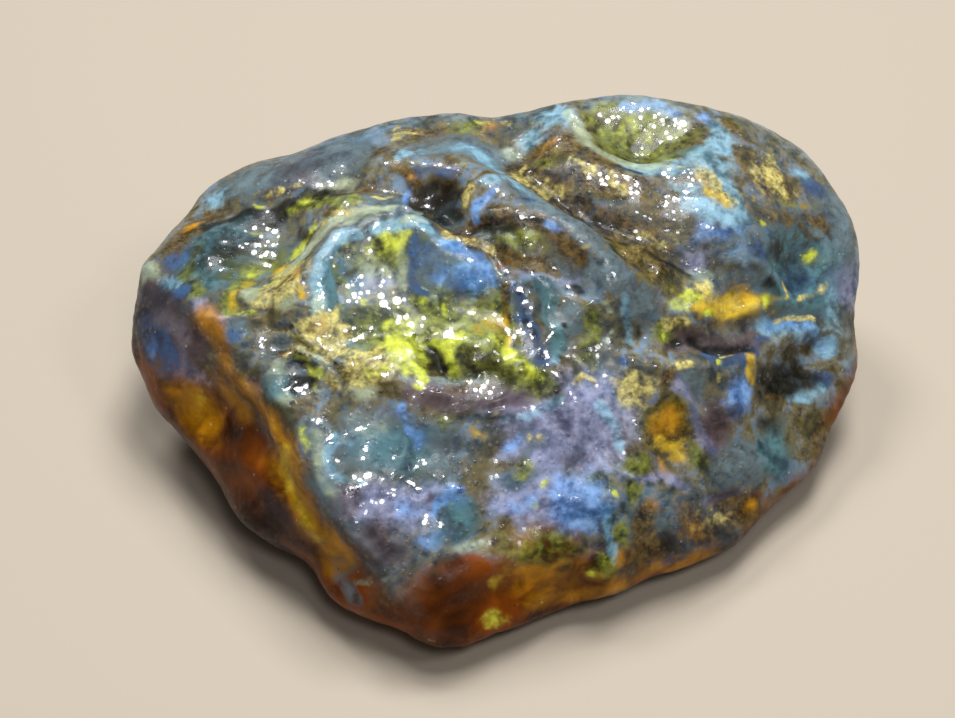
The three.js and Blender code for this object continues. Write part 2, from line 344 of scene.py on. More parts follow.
# Where the films lie. Places are shares of the lump's box, and sizes are millimetres.
MARKS: dict[Layer, tuple[Mark, ...]] = {
    Layer.AMBER: (
        # Left flank and brow.
        Streak(
            (
                (0.04, 0.5, 0.32), (0.1, 0.4, 0.36), (0.17, 0.28, 0.38), (0.24, 0.18, 0.36),
                (0.29, 0.11, 0.24),
            ),
            4.2,
        ),
        Streak(((0.03, 0.52, 0.14), (0.1, 0.38, 0.12), (0.2, 0.22, 0.12), (0.29, 0.1, 0.12)), 1.8, 0.8),
        Patch((0.195, 0.3, 0.45), (1.6, 1.6), 0.9),
        # Ridge, pit and gullies.
        Patch((0.545, 0.635), (0.25, 0.2), 0.8),
        Streak(((0.5, 0.54), (0.52, 0.545), (0.54, 0.545)), 0.22, 0.75),
        # Below the black hole.
        Patch((0.835, 0.27, 0.2), (1.6, 1.4), 0.85),
        # Front.
        Patch((0.308, 0.172), (0.7, 0.5), 0.58),
        # Front foot and low right rim.
        Streak(
            (
                (0.36, 0.05, 0.14), (0.42, 0.06, 0.24), (0.48, 0.07, 0.26), (0.55, 0.1, 0.26),
                (0.61, 0.12, 0.22),
            ),
            3.0,
        ),
        Patch((0.56, 0.14), (2.6, 1.8)),
        Patch((0.46, 0.08), (2.6, 1.4)),
        Streak(((0.36, 0.03, 0.18), (0.43, 0.0, 0.18), (0.5, 0.03, 0.14), (0.58, 0.07, 0.12)), 2.2),
        Streak(((0.34, 0.03, 0.05), (0.42, 0.01, 0.06), (0.5, 0.02, 0.06), (0.6, 0.07, 0.06)), 2.2),
        Streak(((0.7, 0.15, 0.12), (0.78, 0.2, 0.12), (0.85, 0.28, 0.1), (0.93, 0.42, 0.1)), 1.5, 0.9),
        Streak(((0.96, 0.47, 0.2), (0.99, 0.58, 0.24), (1.0, 0.68, 0.3)), 1.8, 0.85),
        # Back.
        Streak(((0.03, 0.66, 0.14), (0.1, 0.82, 0.12), (0.22, 0.93, 0.12), (0.36, 0.97, 0.14)), 2.0),
        Streak(((0.45, 0.98, 0.16), (0.62, 1.0, 0.18), (0.8, 0.98, 0.14), (0.92, 0.86, 0.16)), 2.6),
        Patch((0.55, 1.0, 0.4), (4.4, 2.6), turn=10),
    ),
    Layer.RUSSET: (
        # Left flank and brow.
        Patch((0.15, 0.33, 0.44), (2.8, 2.4), turn=-20),
        Patch((0.13, 0.41, 0.6), (0.9, 0.8), 0.8),
        Patch((0.195, 0.3, 0.5), (1.2, 1.6), 0.75, turn=-30),
        Patch((0.17, 0.27, 0.26), (3.0, 2.0), turn=-30),
        # Ridge, pit and gullies.
        Streak(((0.57, 0.58), (0.595, 0.56), (0.61, 0.545)), 0.5, 0.9),
        # Below the black hole.
        Patch((0.7, 0.165), (3.4, 1.6), 0.75, turn=10),
        Patch((0.77, 0.215), (2.2, 1.2), 0.75, turn=20),
        # Front foot and low right rim.
        Patch((0.44, 0.06, 0.28), (3.4, 2.2), 0.85),
        Patch((0.42, 0.02, 0.15), (2.4, 2.0), 0.9),
    ),
    Layer.SLATE: (
        # Left flank and brow.
        Patch((0.05, 0.58, 0.62), (2.4, 1.8), 0.62),
        Streak(((0.07, 0.55), (0.085, 0.53), (0.1, 0.51)), 0.5, 0.9),
        Patch((0.155, 0.455), (1.3, 1.0)),
        # Left bowl and saddle.
        Patch((0.15, 0.63), (4.4, 4.4), 0.9),
        Patch((0.13, 0.6), (2.4, 2.6), 0.7),
        # Great bowl.
        Patch((0.425, 0.555), (2.7, 2.5)),
        Patch((0.355, 0.465), (1.5, 1.2)),
        Patch((0.59, 0.46), (1.2, 1.3)),
        # Right of the great bowl.
        Streak(((0.6, 0.54), (0.64, 0.525), (0.69, 0.5)), 1.5, 0.9),
        # Ridge, pit and gullies.
        Streak(((0.33, 0.69), (0.37, 0.685)), 1.0),
        Streak(((0.4, 0.81), (0.45, 0.815), (0.5, 0.76), (0.53, 0.69), (0.565, 0.64), (0.6, 0.57)), 1.7),
        Patch((0.63, 0.67), (1.3, 0.7), 0.95),
        # Crest bowl and shoulder.
        Patch((0.96, 0.74), (2.0, 3.4)),
        # Golden patch and black hole.
        Patch((0.755, 0.4), (1.2, 1.6), 0.9),
        # Below the black hole.
        Patch((0.83, 0.33), (2.4, 1.6)),
        # Front.
        Patch((0.56, 0.265), (2.2, 1.5)),
        Patch((0.35, 0.255), (3.6, 2.6)),
        Patch((0.34, 0.095, 0.38), (1.7, 1.2)),
        Patch((0.42, 0.255), (2.0, 1.8), 0.95),
        Streak(((0.26, 0.27), (0.27, 0.22), (0.285, 0.17), (0.3, 0.12)), 1.1),
        Streak(((0.29, 0.13), (0.3, 0.1), (0.31, 0.075)), 0.7, 0.9),
        # Back.
        Patch((0.22, 0.82), (5.4, 2.6)),
    ),
    Layer.LAVENDER: (
        # Left flank and brow.
        Patch((0.079, 0.462, 0.52), (2.4, 1.2), 0.9, turn=-30),
        Streak(((0.1, 0.53), (0.115, 0.495), (0.13, 0.475)), 0.7, 0.9),
        # Great bowl.
        Patch((0.335, 0.535), (1.8, 0.8), 0.55),
        # Right of the great bowl.
        Streak(((0.515, 0.53), (0.55, 0.532), (0.6, 0.52)), 0.7, 0.48),
        # Ridge, pit and gullies.
        Patch((0.63, 0.672), (1.0, 0.5), 0.62),
        # Crest bowl and shoulder.
        Patch((0.735, 0.87), (1.2, 0.8), 0.8),
        Patch((0.765, 0.595), (1.6, 1.2), 0.75),
        # Below the black hole.
        Streak(((0.73, 0.385), (0.755, 0.355), (0.785, 0.333)), 0.7, 0.85),
        Streak(((0.66, 0.252), (0.7, 0.255), (0.74, 0.262), (0.79, 0.275)), 0.55, 0.75),
        # Front.
        Patch((0.59, 0.31), (5.2, 3.4)),
        Patch((0.545, 0.2), (3.4, 1.8), 0.9),
        Patch((0.36, 0.255), (4.2, 2.6), 0.5),
        Patch((0.345, 0.165), (2.4, 1.6), turn=-5),
        Patch((0.4, 0.17), (2.6, 1.4), 0.9),
        # Back.
        Patch((0.2, 0.9, 0.55), (3.0, 2.0), 0.9, turn=20),
        Patch((1.0, 0.66, 0.52), (2.6, 2.0), 0.8),
    ),
    Layer.PLUM: (
        # Left flank and brow.
        Patch((0.05, 0.58, 0.6), (3.4, 2.6)),
        Patch((0.09, 0.5, 0.62), (2.6, 2.0)),
        Patch((0.19, 0.37, 0.66), (1.2, 1.0)),
        Patch((0.22, 0.22, 0.36), (1.8, 1.4), 0.8),
        # Great bowl.
        Streak(((0.405, 0.325), (0.44, 0.315), (0.49, 0.32), (0.53, 0.335)), 1.3, 0.9),
        # Golden patch and black hole.
        Patch((0.915, 0.585), (1.2, 0.5), 0.85, turn=10),
        Streak(((0.72, 0.465), (0.76, 0.475), (0.8, 0.488), (0.84, 0.51)), 1.0),
        # Below the black hole.
        Patch((0.79, 0.37), (1.6, 2.2)),
        Patch((0.755, 0.23), (2.4, 1.6), 0.8),
        Patch((0.8, 0.275), (1.3, 1.0)),
        # Front.
        Patch((0.6, 0.262), (1.4, 0.9), 0.62),
        Patch((0.42, 0.25), (1.2, 0.8), 0.6),
        Patch((0.412, 0.178), (0.7, 0.4), 0.8),
        Patch((0.303, 0.165), (1.1, 1.3)),
        Patch((0.345, 0.11), (3.2, 1.8), 0.85),
        # Back.
        Patch((0.22, 0.82), (2.2, 1.4), 0.62, turn=20),
        Patch((0.3, 0.95, 0.42), (3.6, 2.4)),
        Patch((0.25, 0.8), (3.4, 1.4), 0.6, turn=10),
    ),
    Layer.TEAL: (
        # Left bowl and saddle.
        Patch((0.125, 0.635), (2.4, 3.4)),
        Patch((0.155, 0.715), (1.1, 0.7), 0.8),
        Patch((0.1, 0.64), (1.6, 2.4), 0.9),
        # Flaky ground.
        Patch((0.215, 0.35), (1.2, 1.5), 0.9),
        # Great bowl.
        Patch((0.285, 0.52), (1.2, 2.2)),
        Streak(((0.27, 0.46), (0.28, 0.42), (0.31, 0.395)), 1.0, 0.9),
        Patch((0.345, 0.44), (1.4, 0.8), 0.7),
        Streak(((0.56, 0.5), (0.565, 0.46), (0.575, 0.41)), 0.85),
        # Ridge, pit and gullies.
        Patch((0.43, 0.66), (0.8, 0.5), 0.7, turn=20),
        # Crest bowl and shoulder.
        Patch((0.765, 0.795), (1.3, 0.7), 0.9),
        # Right bowl.
        Patch((0.9, 0.655), (4.2, 3.8)),
        # Below the black hole.
        Patch((0.87, 0.37), (1.8, 2.4), 0.85),
        # Front.
        Patch((0.52, 0.225), (1.7, 1.0), 0.6),
        Patch((0.365, 0.245), (3.8, 2.2), 0.8),
        Patch((0.445, 0.155), (1.9, 1.7), 0.9),
        # Back.
        Patch((0.1, 0.74, 0.5), (2.8, 2.2)),
    ),
    Layer.OLIVE: (
        # Left bowl and saddle.
        Patch((0.185, 0.6), (3.8, 3.4), 0.62),
        Streak(((0.09, 0.655), (0.09, 0.6), (0.095, 0.56)), 0.7, 0.9),
        Streak(((0.245, 0.73), (0.27, 0.7), (0.3, 0.685)), 0.9),
        Streak(((0.14, 0.505), (0.15, 0.54), (0.18, 0.58)), 0.8, 0.9),
        # Flaky ground.
        Patch((0.315, 0.385), (1.0, 0.6), 0.55),
        # Great bowl.
        Patch((0.345, 0.575), (2.6, 1.4), 0.9, turn=5),
        Streak(((0.287, 0.54), (0.295, 0.5)), 0.5, 0.9),
        Patch((0.4, 0.44), (5.6, 3.0)),
        Patch((0.48, 0.43), (2.6, 3.6)),
        Streak(((0.45, 0.4), (0.47, 0.375)), 0.5),
        Streak(((0.49, 0.4), (0.53, 0.365), (0.56, 0.35)), 1.1),
        # Right of the great bowl.
        Patch((0.62, 0.44), (1.0, 2.4), 0.8),
        Patch((0.715, 0.47), (0.8, 1.0)),
        # Ridge, pit and gullies.
        Patch((0.525, 0.58), (2.4, 1.0), turn=-8),
        Patch((0.575, 0.77), (1.8, 0.9), 0.8),
        Patch((0.66, 0.735), (2.2, 1.0), 0.7),
        Patch((0.64, 0.7), (2.6, 1.2), 0.62),
        Patch((0.68, 0.58), (2.4, 1.1), 0.85, turn=-15),
        Patch((0.715, 0.55), (2.2, 1.2), 0.7, turn=-15),
        # Crest bowl and shoulder.
        Patch((0.69, 0.84), (4.4, 2.9)),
        Streak(((0.645, 0.8), (0.68, 0.775), (0.73, 0.78)), 0.6),
        Patch((0.755, 0.83), (0.8, 0.9), 0.9),
        Patch((0.89, 0.75), (1.4, 0.6), 0.75),
        Patch((0.82, 0.88), (1.1, 0.8), 0.75),
        # Right bowl.
        Patch((0.93, 0.68), (1.4, 0.9), 0.58),
        # Below the black hole.
        Patch((0.72, 0.345), (2.0, 1.9), 0.9),
        Patch((0.755, 0.31), (1.1, 1.0), 0.85, turn=-30),
        Patch((0.68, 0.268), (1.3, 0.8)),
        Patch((0.633, 0.232), (1.0, 0.7), 0.95),
        Patch((0.678, 0.232), (0.9, 0.9), 0.95),
        Patch((0.665, 0.17), (0.9, 1.2), 0.8),
        # Front.
        Patch((0.527, 0.243), (0.8, 0.7), 0.8),
        Patch((0.425, 0.285), (1.2, 0.6), 0.62),
        # Front foot and low right rim.
        Patch((0.55, 0.13), (3.8, 2.0), 0.62),
        Patch((0.565, 0.15), (2.0, 0.9), 0.62),
        Patch((0.635, 0.12, 0.28), (1.6, 1.2), 0.8),
        # Back.
        Patch((0.76, 1.0, 0.62), (3.2, 2.0)),
        Patch((0.04, 0.68, 0.4), (2.0, 1.8), 0.8),
        Patch((0.45, 0.87), (1.8, 0.9), 0.75),
    ),
    Layer.BROWN: (
        # Left flank and brow.
        Streak(((0.06, 0.68), (0.09, 0.71), (0.105, 0.745)), 1.1, 0.8),
        # Flaky ground.
        Streak(((0.205, 0.452), (0.23, 0.445)), 0.35),
        Streak(((0.2, 0.397), (0.23, 0.405), (0.25, 0.4)), 0.4),
        Streak(((0.255, 0.405), (0.275, 0.385), (0.3, 0.365), (0.305, 0.34)), 0.22),
        Streak(((0.24, 0.385), (0.255, 0.365), (0.27, 0.35), (0.3, 0.335)), 0.22),
        # Great bowl.
        Streak(((0.505, 0.51), (0.507, 0.48), (0.51, 0.455)), 0.42, 0.95),
        Patch((0.47, 0.335), (2.4, 0.6), 0.62),
        # Ridge, pit and gullies.
        Streak(((0.36, 0.755), (0.375, 0.745), (0.39, 0.72), (0.395, 0.68)), 0.55),
        Streak(
            ((0.42, 0.625), (0.45, 0.61), (0.5, 0.622), (0.55, 0.605), (0.58, 0.575), (0.605, 0.55)),
            0.75,
        ),
        Streak(((0.45, 0.585), (0.49, 0.56), (0.53, 0.545), (0.57, 0.545)), 0.6),
        Streak(((0.52, 0.765), (0.55, 0.735), (0.58, 0.7), (0.6, 0.67)), 1.2),
        Patch((0.575, 0.8), (2.0, 0.9), turn=10),
        Patch((0.64, 0.72), (3.6, 2.4), 0.95, turn=-20),
        Patch((0.6, 0.79), (2.4, 1.6), 0.8, turn=20),
        Patch((0.68, 0.605), (3.4, 1.8), turn=-15),
        Patch((0.7, 0.575), (3.2, 2.0), 0.9, turn=-20),
        Patch((0.655, 0.635), (2.6, 1.6), 0.85, turn=-30),
        # Crest bowl and shoulder.
        Patch((0.875, 0.785), (2.6, 2.0), 0.75),
        Streak(((0.85, 0.695), (0.89, 0.715), (0.94, 0.735)), 1.2, 0.62),
        Patch((0.82, 0.875), (1.4, 1.0), 0.8),
        # Golden patch and black hole.
        Patch((0.935, 0.425, 0.24), (1.6, 2.2), 0.8),
        # Below the black hole.
        Patch((0.72, 0.393), (0.6, 0.9), 0.8),
        Patch((0.67, 0.29), (1.2, 0.4), 0.7),
        Streak(((0.69, 0.205), (0.695, 0.18), (0.7, 0.155)), 0.8),
        Patch((0.76, 0.225), (3.2, 2.4), 0.6),
        Patch((0.69, 0.155), (3.0, 1.8), 0.6),
        Patch((0.72, 0.33), (2.6, 2.6), 0.8),
        Patch((0.82, 0.26, 0.22), (2.2, 1.6), 0.9),
        # Front.
        Patch((0.467, 0.128), (0.5, 0.2), 0.8, turn=20),
        # Back.
        Patch((0.7, 1.0, 0.36), (2.6, 2.0), 0.9),
        Patch((0.195, 0.765), (1.8, 0.7), 0.7),
        Patch((0.325, 0.735), (1.0, 0.6), 0.8),
        Patch((0.335, 0.81), (1.2, 0.9), 0.75),
        Patch((0.4, 0.865), (2.4, 0.9), 0.7),
    ),
    Layer.NAVY: (
        # Left flank and brow.
        Patch((0.044, 0.505, 0.53), (2.6, 1.5), turn=-35),
        Patch((0.075, 0.572), (1.0, 0.6), turn=20),
        Patch((0.07, 0.65), (1.4, 1.0), 0.8),
        Patch((0.155, 0.45), (0.9, 0.7), 0.8),
        # Great bowl.
        Streak(((0.385, 0.575), (0.383, 0.53), (0.4, 0.505)), 0.55, 0.8),
        Patch((0.4, 0.565), (1.2, 0.9), 0.62),
        Streak(((0.522, 0.505), (0.53, 0.46), (0.545, 0.42), (0.555, 0.39)), 0.75, 0.75),
        # Ridge, pit and gullies.
        Streak(((0.39, 0.74), (0.42, 0.735), (0.445, 0.735)), 0.65, 0.75),
        Patch((0.54, 0.65), (0.7, 0.4), 0.8),
        # Crest bowl and shoulder.
        Patch((0.845, 0.625), (0.9, 0.7)),
        Patch((0.93, 0.81), (1.3, 1.0), 0.9, turn=-30),
        # Right bowl.
        Patch((0.9, 0.645), (2.0, 1.6), 0.62),
        # Golden patch and black hole.
        Streak(((0.775, 0.455), (0.8, 0.46), (0.83, 0.475), (0.855, 0.52)), 0.7, 0.9),
        Streak(((0.925, 0.515), (0.935, 0.505), (0.945, 0.52)), 0.6, 0.8),
        # Below the black hole.
        Streak(((0.745, 0.37), (0.765, 0.348), (0.79, 0.33)), 0.4, 0.55),
        Patch((0.715, 0.165), (0.8, 0.8), 0.7),
    ),
    Layer.SKY: (
        # Left flank and brow.
        Patch((0.065, 0.595), (1.3, 1.0), 0.75),
        # Great bowl.
        Streak(
            (
                (0.26, 0.46), (0.262, 0.52), (0.275, 0.565), (0.31, 0.605), (0.355, 0.612),
                (0.4, 0.605), (0.44, 0.575),
            ),
            0.55,
        ),
        Patch((0.46, 0.525), (1.1, 0.8), 0.95, turn=-40),
        Patch((0.572, 0.395), (0.7, 0.6), 0.75),
        # Right of the great bowl.
        Streak(((0.658, 0.49), (0.665, 0.465), (0.667, 0.445)), 0.5, 0.75),
        # Ridge, pit and gullies.
        Patch((0.365, 0.785), (0.7, 0.7), 0.9),
        Streak(((0.4, 0.8), (0.45, 0.8), (0.495, 0.765), (0.515, 0.71), (0.55, 0.675)), 1.1, 0.62),
        Patch((0.485, 0.695), (0.9, 0.6), 0.8),
        Patch((0.54, 0.825), (1.0, 0.9), turn=20),
        Patch((0.765, 0.67), (2.0, 1.2), 0.8, turn=-20),
        # Crest bowl and shoulder.
        Patch((0.575, 0.865), (1.4, 1.3)),
        Streak(((0.68, 0.745), (0.73, 0.735), (0.775, 0.765), (0.795, 0.81), (0.795, 0.85)), 0.85, 0.9),
        Streak(((0.8, 0.765), (0.808, 0.71), (0.81, 0.67)), 1.1, 0.9),
        Patch((0.75, 0.705), (1.4, 0.9), 0.8),
        Patch((0.915, 0.83), (1.2, 0.7), 0.62, turn=-30),
        # Right bowl.
        Patch((0.955, 0.6), (1.2, 2.4), 0.6),
        # Golden patch and black hole.
        Streak(((0.86, 0.545), (0.9, 0.555), (0.945, 0.57)), 0.9, 0.75),
        Patch((0.945, 0.6), (1.2, 1.4), 0.62),
        Streak(((0.885, 0.462), (0.91, 0.478), (0.93, 0.5)), 0.4, 0.9),
        # Front.
        Streak(((0.51, 0.29), (0.54, 0.305), (0.57, 0.335)), 0.55, 0.75),
        Streak(((0.635, 0.34), (0.655, 0.325), (0.655, 0.3)), 0.6, 0.75),
        Streak(((0.64, 0.19), (0.64, 0.165), (0.648, 0.14)), 0.55, 0.9),
        Patch((0.33, 0.265), (2.2, 1.4), 0.58),
        Streak(((0.285, 0.265), (0.277, 0.235), (0.285, 0.208), (0.32, 0.2)), 0.45, 0.9),
        # Back.
        Patch((0.9, 0.92, 0.62), (2.4, 1.8), 0.85),
        Patch((0.12, 0.785), (1.4, 0.8), 0.7, turn=25),
    ),
    Layer.AZURE: (
        # Left flank and brow.
        Patch((0.04, 0.52, 0.5), (1.0, 0.6), 0.6, turn=-35),
        # Great bowl.
        Streak(((0.43, 0.585), (0.455, 0.56), (0.475, 0.54), (0.485, 0.525)), 0.55, 0.9),
        Patch((0.455, 0.52), (1.3, 1.1), 0.66, turn=10),
        Patch((0.425, 0.535), (1.2, 0.8), 0.58),
        Patch((0.46, 0.525), (1.1, 0.9), 0.85),
        # Right of the great bowl.
        Patch((0.667, 0.408), (0.6, 0.8), 0.7),
        # Ridge, pit and gullies.
        Patch((0.38, 0.695), (0.4, 0.8), 0.9),
        Streak(((0.468, 0.63), (0.485, 0.65), (0.495, 0.665)), 0.5, 0.9),
        Patch((0.57, 0.59), (0.7, 0.5), 0.8, turn=-20),
        # Crest bowl and shoulder.
        Streak(((0.68, 0.895), (0.71, 0.905), (0.745, 0.885)), 0.65, 0.85),
        Patch((0.785, 0.88), (0.9, 0.9), 0.8),
        Patch((0.79, 0.635), (1.7, 0.9), 0.75),
        # Golden patch and black hole.
        Streak(((0.865, 0.55), (0.9, 0.56), (0.94, 0.565)), 0.7, 0.62),
        Patch((0.822, 0.425), (1.1, 1.4)),
        # Front.
        Patch((0.52, 0.268), (0.8, 0.35), 0.75),
        Patch((0.605, 0.2), (2.0, 2.1), turn=-20),
        Patch((0.53, 0.19), (2.2, 0.8), 0.62),
        Streak(((0.383, 0.3), (0.392, 0.275), (0.4, 0.25)), 0.5, 0.75),
        Streak(((0.415, 0.155), (0.43, 0.17), (0.442, 0.187)), 0.5, 0.95),
        Patch((0.41, 0.125), (1.2, 0.8), 0.75),
        Patch((0.45, 0.17), (1.3, 0.6), 0.58),
        Patch((0.38, 0.165), (1.8, 0.8), 0.56, turn=-10),
        # Back.
        Patch((0.36, 0.94, 0.62), (2.0, 1.1), 0.8, turn=15),
    ),
    Layer.PALE: (
        # Left flank and brow.
        Patch((0.03, 0.635), (0.8, 1.6), 0.8, turn=70),
        # Left bowl and saddle.
        Patch((0.18, 0.525), (1.0, 0.9), 0.9),
        Streak(((0.215, 0.58), (0.25, 0.62), (0.29, 0.645), (0.34, 0.655), (0.4, 0.65)), 0.75, 0.85),
        Patch((0.215, 0.49), (1.1, 0.9), 0.75),
        # Flaky ground.
        Streak(((0.245, 0.405), (0.26, 0.39), (0.275, 0.375)), 0.25, 0.85),
        Patch((0.325, 0.335), (1.4, 1.0), 0.75),
        Patch((0.31, 0.4), (1.0, 0.8), 0.6),
        Patch((0.22, 0.33), (0.8, 1.2), 0.7),
        Patch((0.215, 0.385), (0.7, 0.6), 0.7),
        # Great bowl.
        Streak(((0.26, 0.48), (0.265, 0.44), (0.28, 0.41)), 0.7, 0.8),
        Patch((0.38, 0.612), (1.1, 0.35), 0.9),
        Patch((0.33, 0.545), (1.8, 0.9), 0.55),
        Patch((0.372, 0.55), (0.6, 1.9), 0.62),
        # Painted highlight: a thin pale line along the row of glints in the great bowl.
        Streak(((0.38, 0.545), (0.395, 0.52), (0.41, 0.505)), 0.15, 0.8),
        Patch((0.415, 0.5), (0.6, 0.7), 0.62),
        # Right of the great bowl.
        Streak(((0.64, 0.48), (0.645, 0.45), (0.647, 0.41)), 0.3, 0.7),
        # Ridge, pit and gullies.
        Patch((0.515, 0.8), (1.0, 0.7), 0.85),
        # Crest bowl and shoulder.
        Streak(((0.595, 0.865), (0.61, 0.82), (0.64, 0.785), (0.67, 0.762), (0.72, 0.752)), 0.5, 0.9),
        # Painted sheen: a pale patch where the shoulder shows a blue-white sheen.
        Patch((0.775, 0.575), (1.8, 1.1), 0.62),
        # Golden patch and black hole.
        Patch((0.78, 0.55), (0.5, 0.7), 0.8),
        # Below the black hole.
        Streak(((0.665, 0.25), (0.7, 0.252), (0.725, 0.245)), 0.22, 0.62),
        # Front.
        Patch((0.548, 0.187), (0.5, 0.3), 0.8),
        Patch((0.34, 0.275), (2.4, 1.4), 0.52),
        Patch((0.47, 0.12), (1.4, 0.6), 0.75),
        Streak(((0.262, 0.26), (0.27, 0.215), (0.282, 0.18)), 0.6, 0.56),
        Streak(((0.3, 0.095), (0.33, 0.085), (0.355, 0.07)), 0.3, 0.75),
        # Back.
        Patch((0.62, 0.97, 0.7), (2.2, 1.0), 0.75),
        Patch((0.285, 0.745), (1.8, 0.9), 0.7),
    ),
    Layer.SAND: (
        # Left bowl and saddle.
        Patch((0.22, 0.545), (1.9, 1.9)),
        Streak(((0.175, 0.51), (0.195, 0.5)), 0.3, 0.8),
        Patch((0.29, 0.655), (1.8, 0.4), 0.62, turn=10),
        # Flaky ground.
        Patch((0.27, 0.42), (2.0, 1.6)),
        Patch((0.315, 0.37), (2.4, 1.5), turn=10),
        # Great bowl.
        Streak(((0.445, 0.288), (0.47, 0.286), (0.5, 0.3)), 0.28, 0.9),
        Streak(((0.585, 0.36), (0.61, 0.368), (0.63, 0.365)), 0.28, 0.75),
        # Right of the great bowl.
        Patch((0.675, 0.375), (1.6, 1.2), 0.85),
        Patch((0.74, 0.413), (1.0, 0.4), 0.8),
        # Ridge, pit and gullies.
        Patch((0.345, 0.705), (1.0, 0.4), 0.7, turn=5),
        Streak(((0.462, 0.7), (0.467, 0.68), (0.462, 0.665)), 0.38, 0.95),
        Streak(((0.4, 0.665), (0.41, 0.64), (0.43, 0.615)), 0.35, 0.9),
        Streak(((0.43, 0.605), (0.46, 0.585), (0.49, 0.56)), 0.45, 0.7),
        Streak(((0.53, 0.76), (0.56, 0.72), (0.585, 0.695)), 0.8, 0.62),
        Patch((0.67, 0.7), (0.6, 0.8), 0.62),
        Streak(((0.6, 0.755), (0.62, 0.735), (0.65, 0.725)), 0.45, 0.75),
        Streak(((0.645, 0.715), (0.67, 0.71), (0.69, 0.7)), 0.35, 0.75),
        Streak(((0.66, 0.625), (0.69, 0.62), (0.72, 0.61)), 0.35, 0.72),
        Patch((0.735, 0.63), (0.6, 0.5), 0.8),
        # Crest bowl and shoulder.
        Streak(((0.725, 0.752), (0.77, 0.752)), 0.26, 0.8),
        Streak(((0.77, 0.74), (0.785, 0.705), (0.8, 0.69)), 0.7, 0.9),
        Patch((0.865, 0.79), (1.9, 1.9), 0.58),
        Patch((0.838, 0.727), (0.8, 0.4), 0.8),
        # Right bowl.
        Streak(((0.905, 0.6), (0.93, 0.625), (0.96, 0.65)), 0.35, 0.62),
        # Golden patch and black hole.
        Patch((0.775, 0.54), (1.4, 1.0), 0.75),
        Patch((0.73, 0.487), (1.2, 0.45), 0.8),
        Streak(((0.8, 0.465), (0.81, 0.485), (0.82, 0.49)), 0.18, 0.8),
        Streak(((0.855, 0.558), (0.88, 0.565), (0.915, 0.575)), 0.22, 0.9),
        Patch((0.792, 0.435), (0.4, 0.4), 0.85),
        # Below the black hole.
        Patch((0.775, 0.245), (2.0, 1.0), 0.4, turn=20),
        Streak(((0.772, 0.272), (0.776, 0.26), (0.774, 0.245)), 0.28, 0.5),
        # Front.
        Patch((0.55, 0.275), (1.0, 0.6), 0.55),
        # Back.
        Patch((0.44, 0.97, 0.66), (1.8, 0.9), 0.75),
        Patch((0.205, 0.768), (1.4, 0.5), 0.7, turn=10),
        Patch((0.37, 0.865), (1.6, 0.7), 0.56),
        Patch((0.5, 0.87), (1.8, 0.8), 0.62, turn=10),
    ),
    Layer.HONEY: (
        # Left flank and brow.
        Streak(((0.11, 0.5, 0.7), (0.14, 0.44, 0.66), (0.19, 0.34, 0.62), (0.24, 0.24, 0.56)), 1.2, 0.8),
        Patch((0.09, 0.43, 0.42), (3.0, 1.8), turn=-35),
        Patch((0.15, 0.385, 0.54), (2.2, 1.1), 0.75, turn=-20),
        Streak(((0.23, 0.25, 0.52), (0.25, 0.2, 0.46), (0.28, 0.13, 0.34)), 1.9, 0.8),
        Patch((0.085, 0.72), (0.9, 0.5), 0.7, turn=30),
        # Left bowl and saddle.
        Patch((0.232, 0.545), (0.9, 0.9), 0.58),
        # Flaky ground.
        Patch((0.268, 0.435), (0.9, 0.6), 0.55),
        # Great bowl.
        Patch((0.501, 0.445), (0.8, 1.2), 0.4),
        # Ridge, pit and gullies.
        Patch((0.385, 0.735), (0.6, 0.4), 0.5),
        Patch((0.575, 0.805), (1.1, 0.4), 0.42, turn=10),
        # Golden patch and black hole.
        Patch((0.835, 0.565), (0.6, 0.7), 0.8),
        Streak(((0.836, 0.45), (0.855, 0.448), (0.872, 0.456)), 0.2, 0.7),
        # Below the black hole.
        Patch((0.715, 0.345), (1.6, 1.3), 0.62, turn=-30),
        Patch((0.72, 0.275), (1.0, 0.6), 0.4, turn=-50),
        Patch((0.702, 0.218), (0.8, 0.6), 0.5),
        Patch((0.7, 0.145), (2.0, 1.0), 0.55, turn=20),
        Patch((0.755, 0.215), (1.4, 0.9), 0.45, turn=20),
        Patch((0.66, 0.14), (1.0, 0.7), 0.6),
        Patch((0.835, 0.27, 0.2), (0.7, 0.7), 0.62),
        Streak(((0.73, 0.165, 0.14), (0.75, 0.18, 0.15), (0.78, 0.2, 0.15)), 0.8, 0.7),
        # Front foot and low right rim.
        Patch((0.56, 0.112, 0.28), (3.4, 1.9), 0.6),
        Streak(((0.56, 0.075, 0.18), (0.61, 0.1, 0.18), (0.66, 0.125, 0.16)), 1.0, 0.8),
        # Back.
        Patch((0.52, 1.0, 0.42), (2.4, 1.4), 0.8, turn=10),
        Patch((0.84, 0.95, 0.24), (2.2, 1.2), 0.8, turn=-10),
        Patch((1.0, 0.62, 0.28), (2.0, 1.2), 0.75),
        Patch((0.5, 0.865), (1.3, 0.7), 0.62, turn=10),
    ),
    Layer.GOLD: (
        # Left flank and brow.
        Patch((0.1, 0.42, 0.44), (1.2, 0.6), 0.55, turn=-35),
        Streak(((0.23, 0.26, 0.54), (0.24, 0.21, 0.47), (0.262, 0.155, 0.38)), 1.2, 0.6),
        # Left bowl and saddle.
        Streak(((0.15, 0.5), (0.157, 0.535), (0.19, 0.572), (0.215, 0.6)), 0.45, 0.62),
        Streak(((0.235, 0.53), (0.237, 0.49)), 0.4, 0.7),
        # Great bowl.
        Streak(((0.47, 0.49), (0.473, 0.45), (0.478, 0.43)), 0.3, 0.62),
        Patch((0.487, 0.445), (0.7, 1.6), 0.45),
        Streak(((0.502, 0.46), (0.508, 0.43), (0.512, 0.4)), 0.38, 0.8),
        Streak(((0.448, 0.275), (0.465, 0.27), (0.485, 0.26)), 0.28, 0.62),
        # Ridge, pit and gullies.
        Patch((0.612, 0.566), (0.4, 0.3), 0.8),
        # Crest bowl and shoulder.
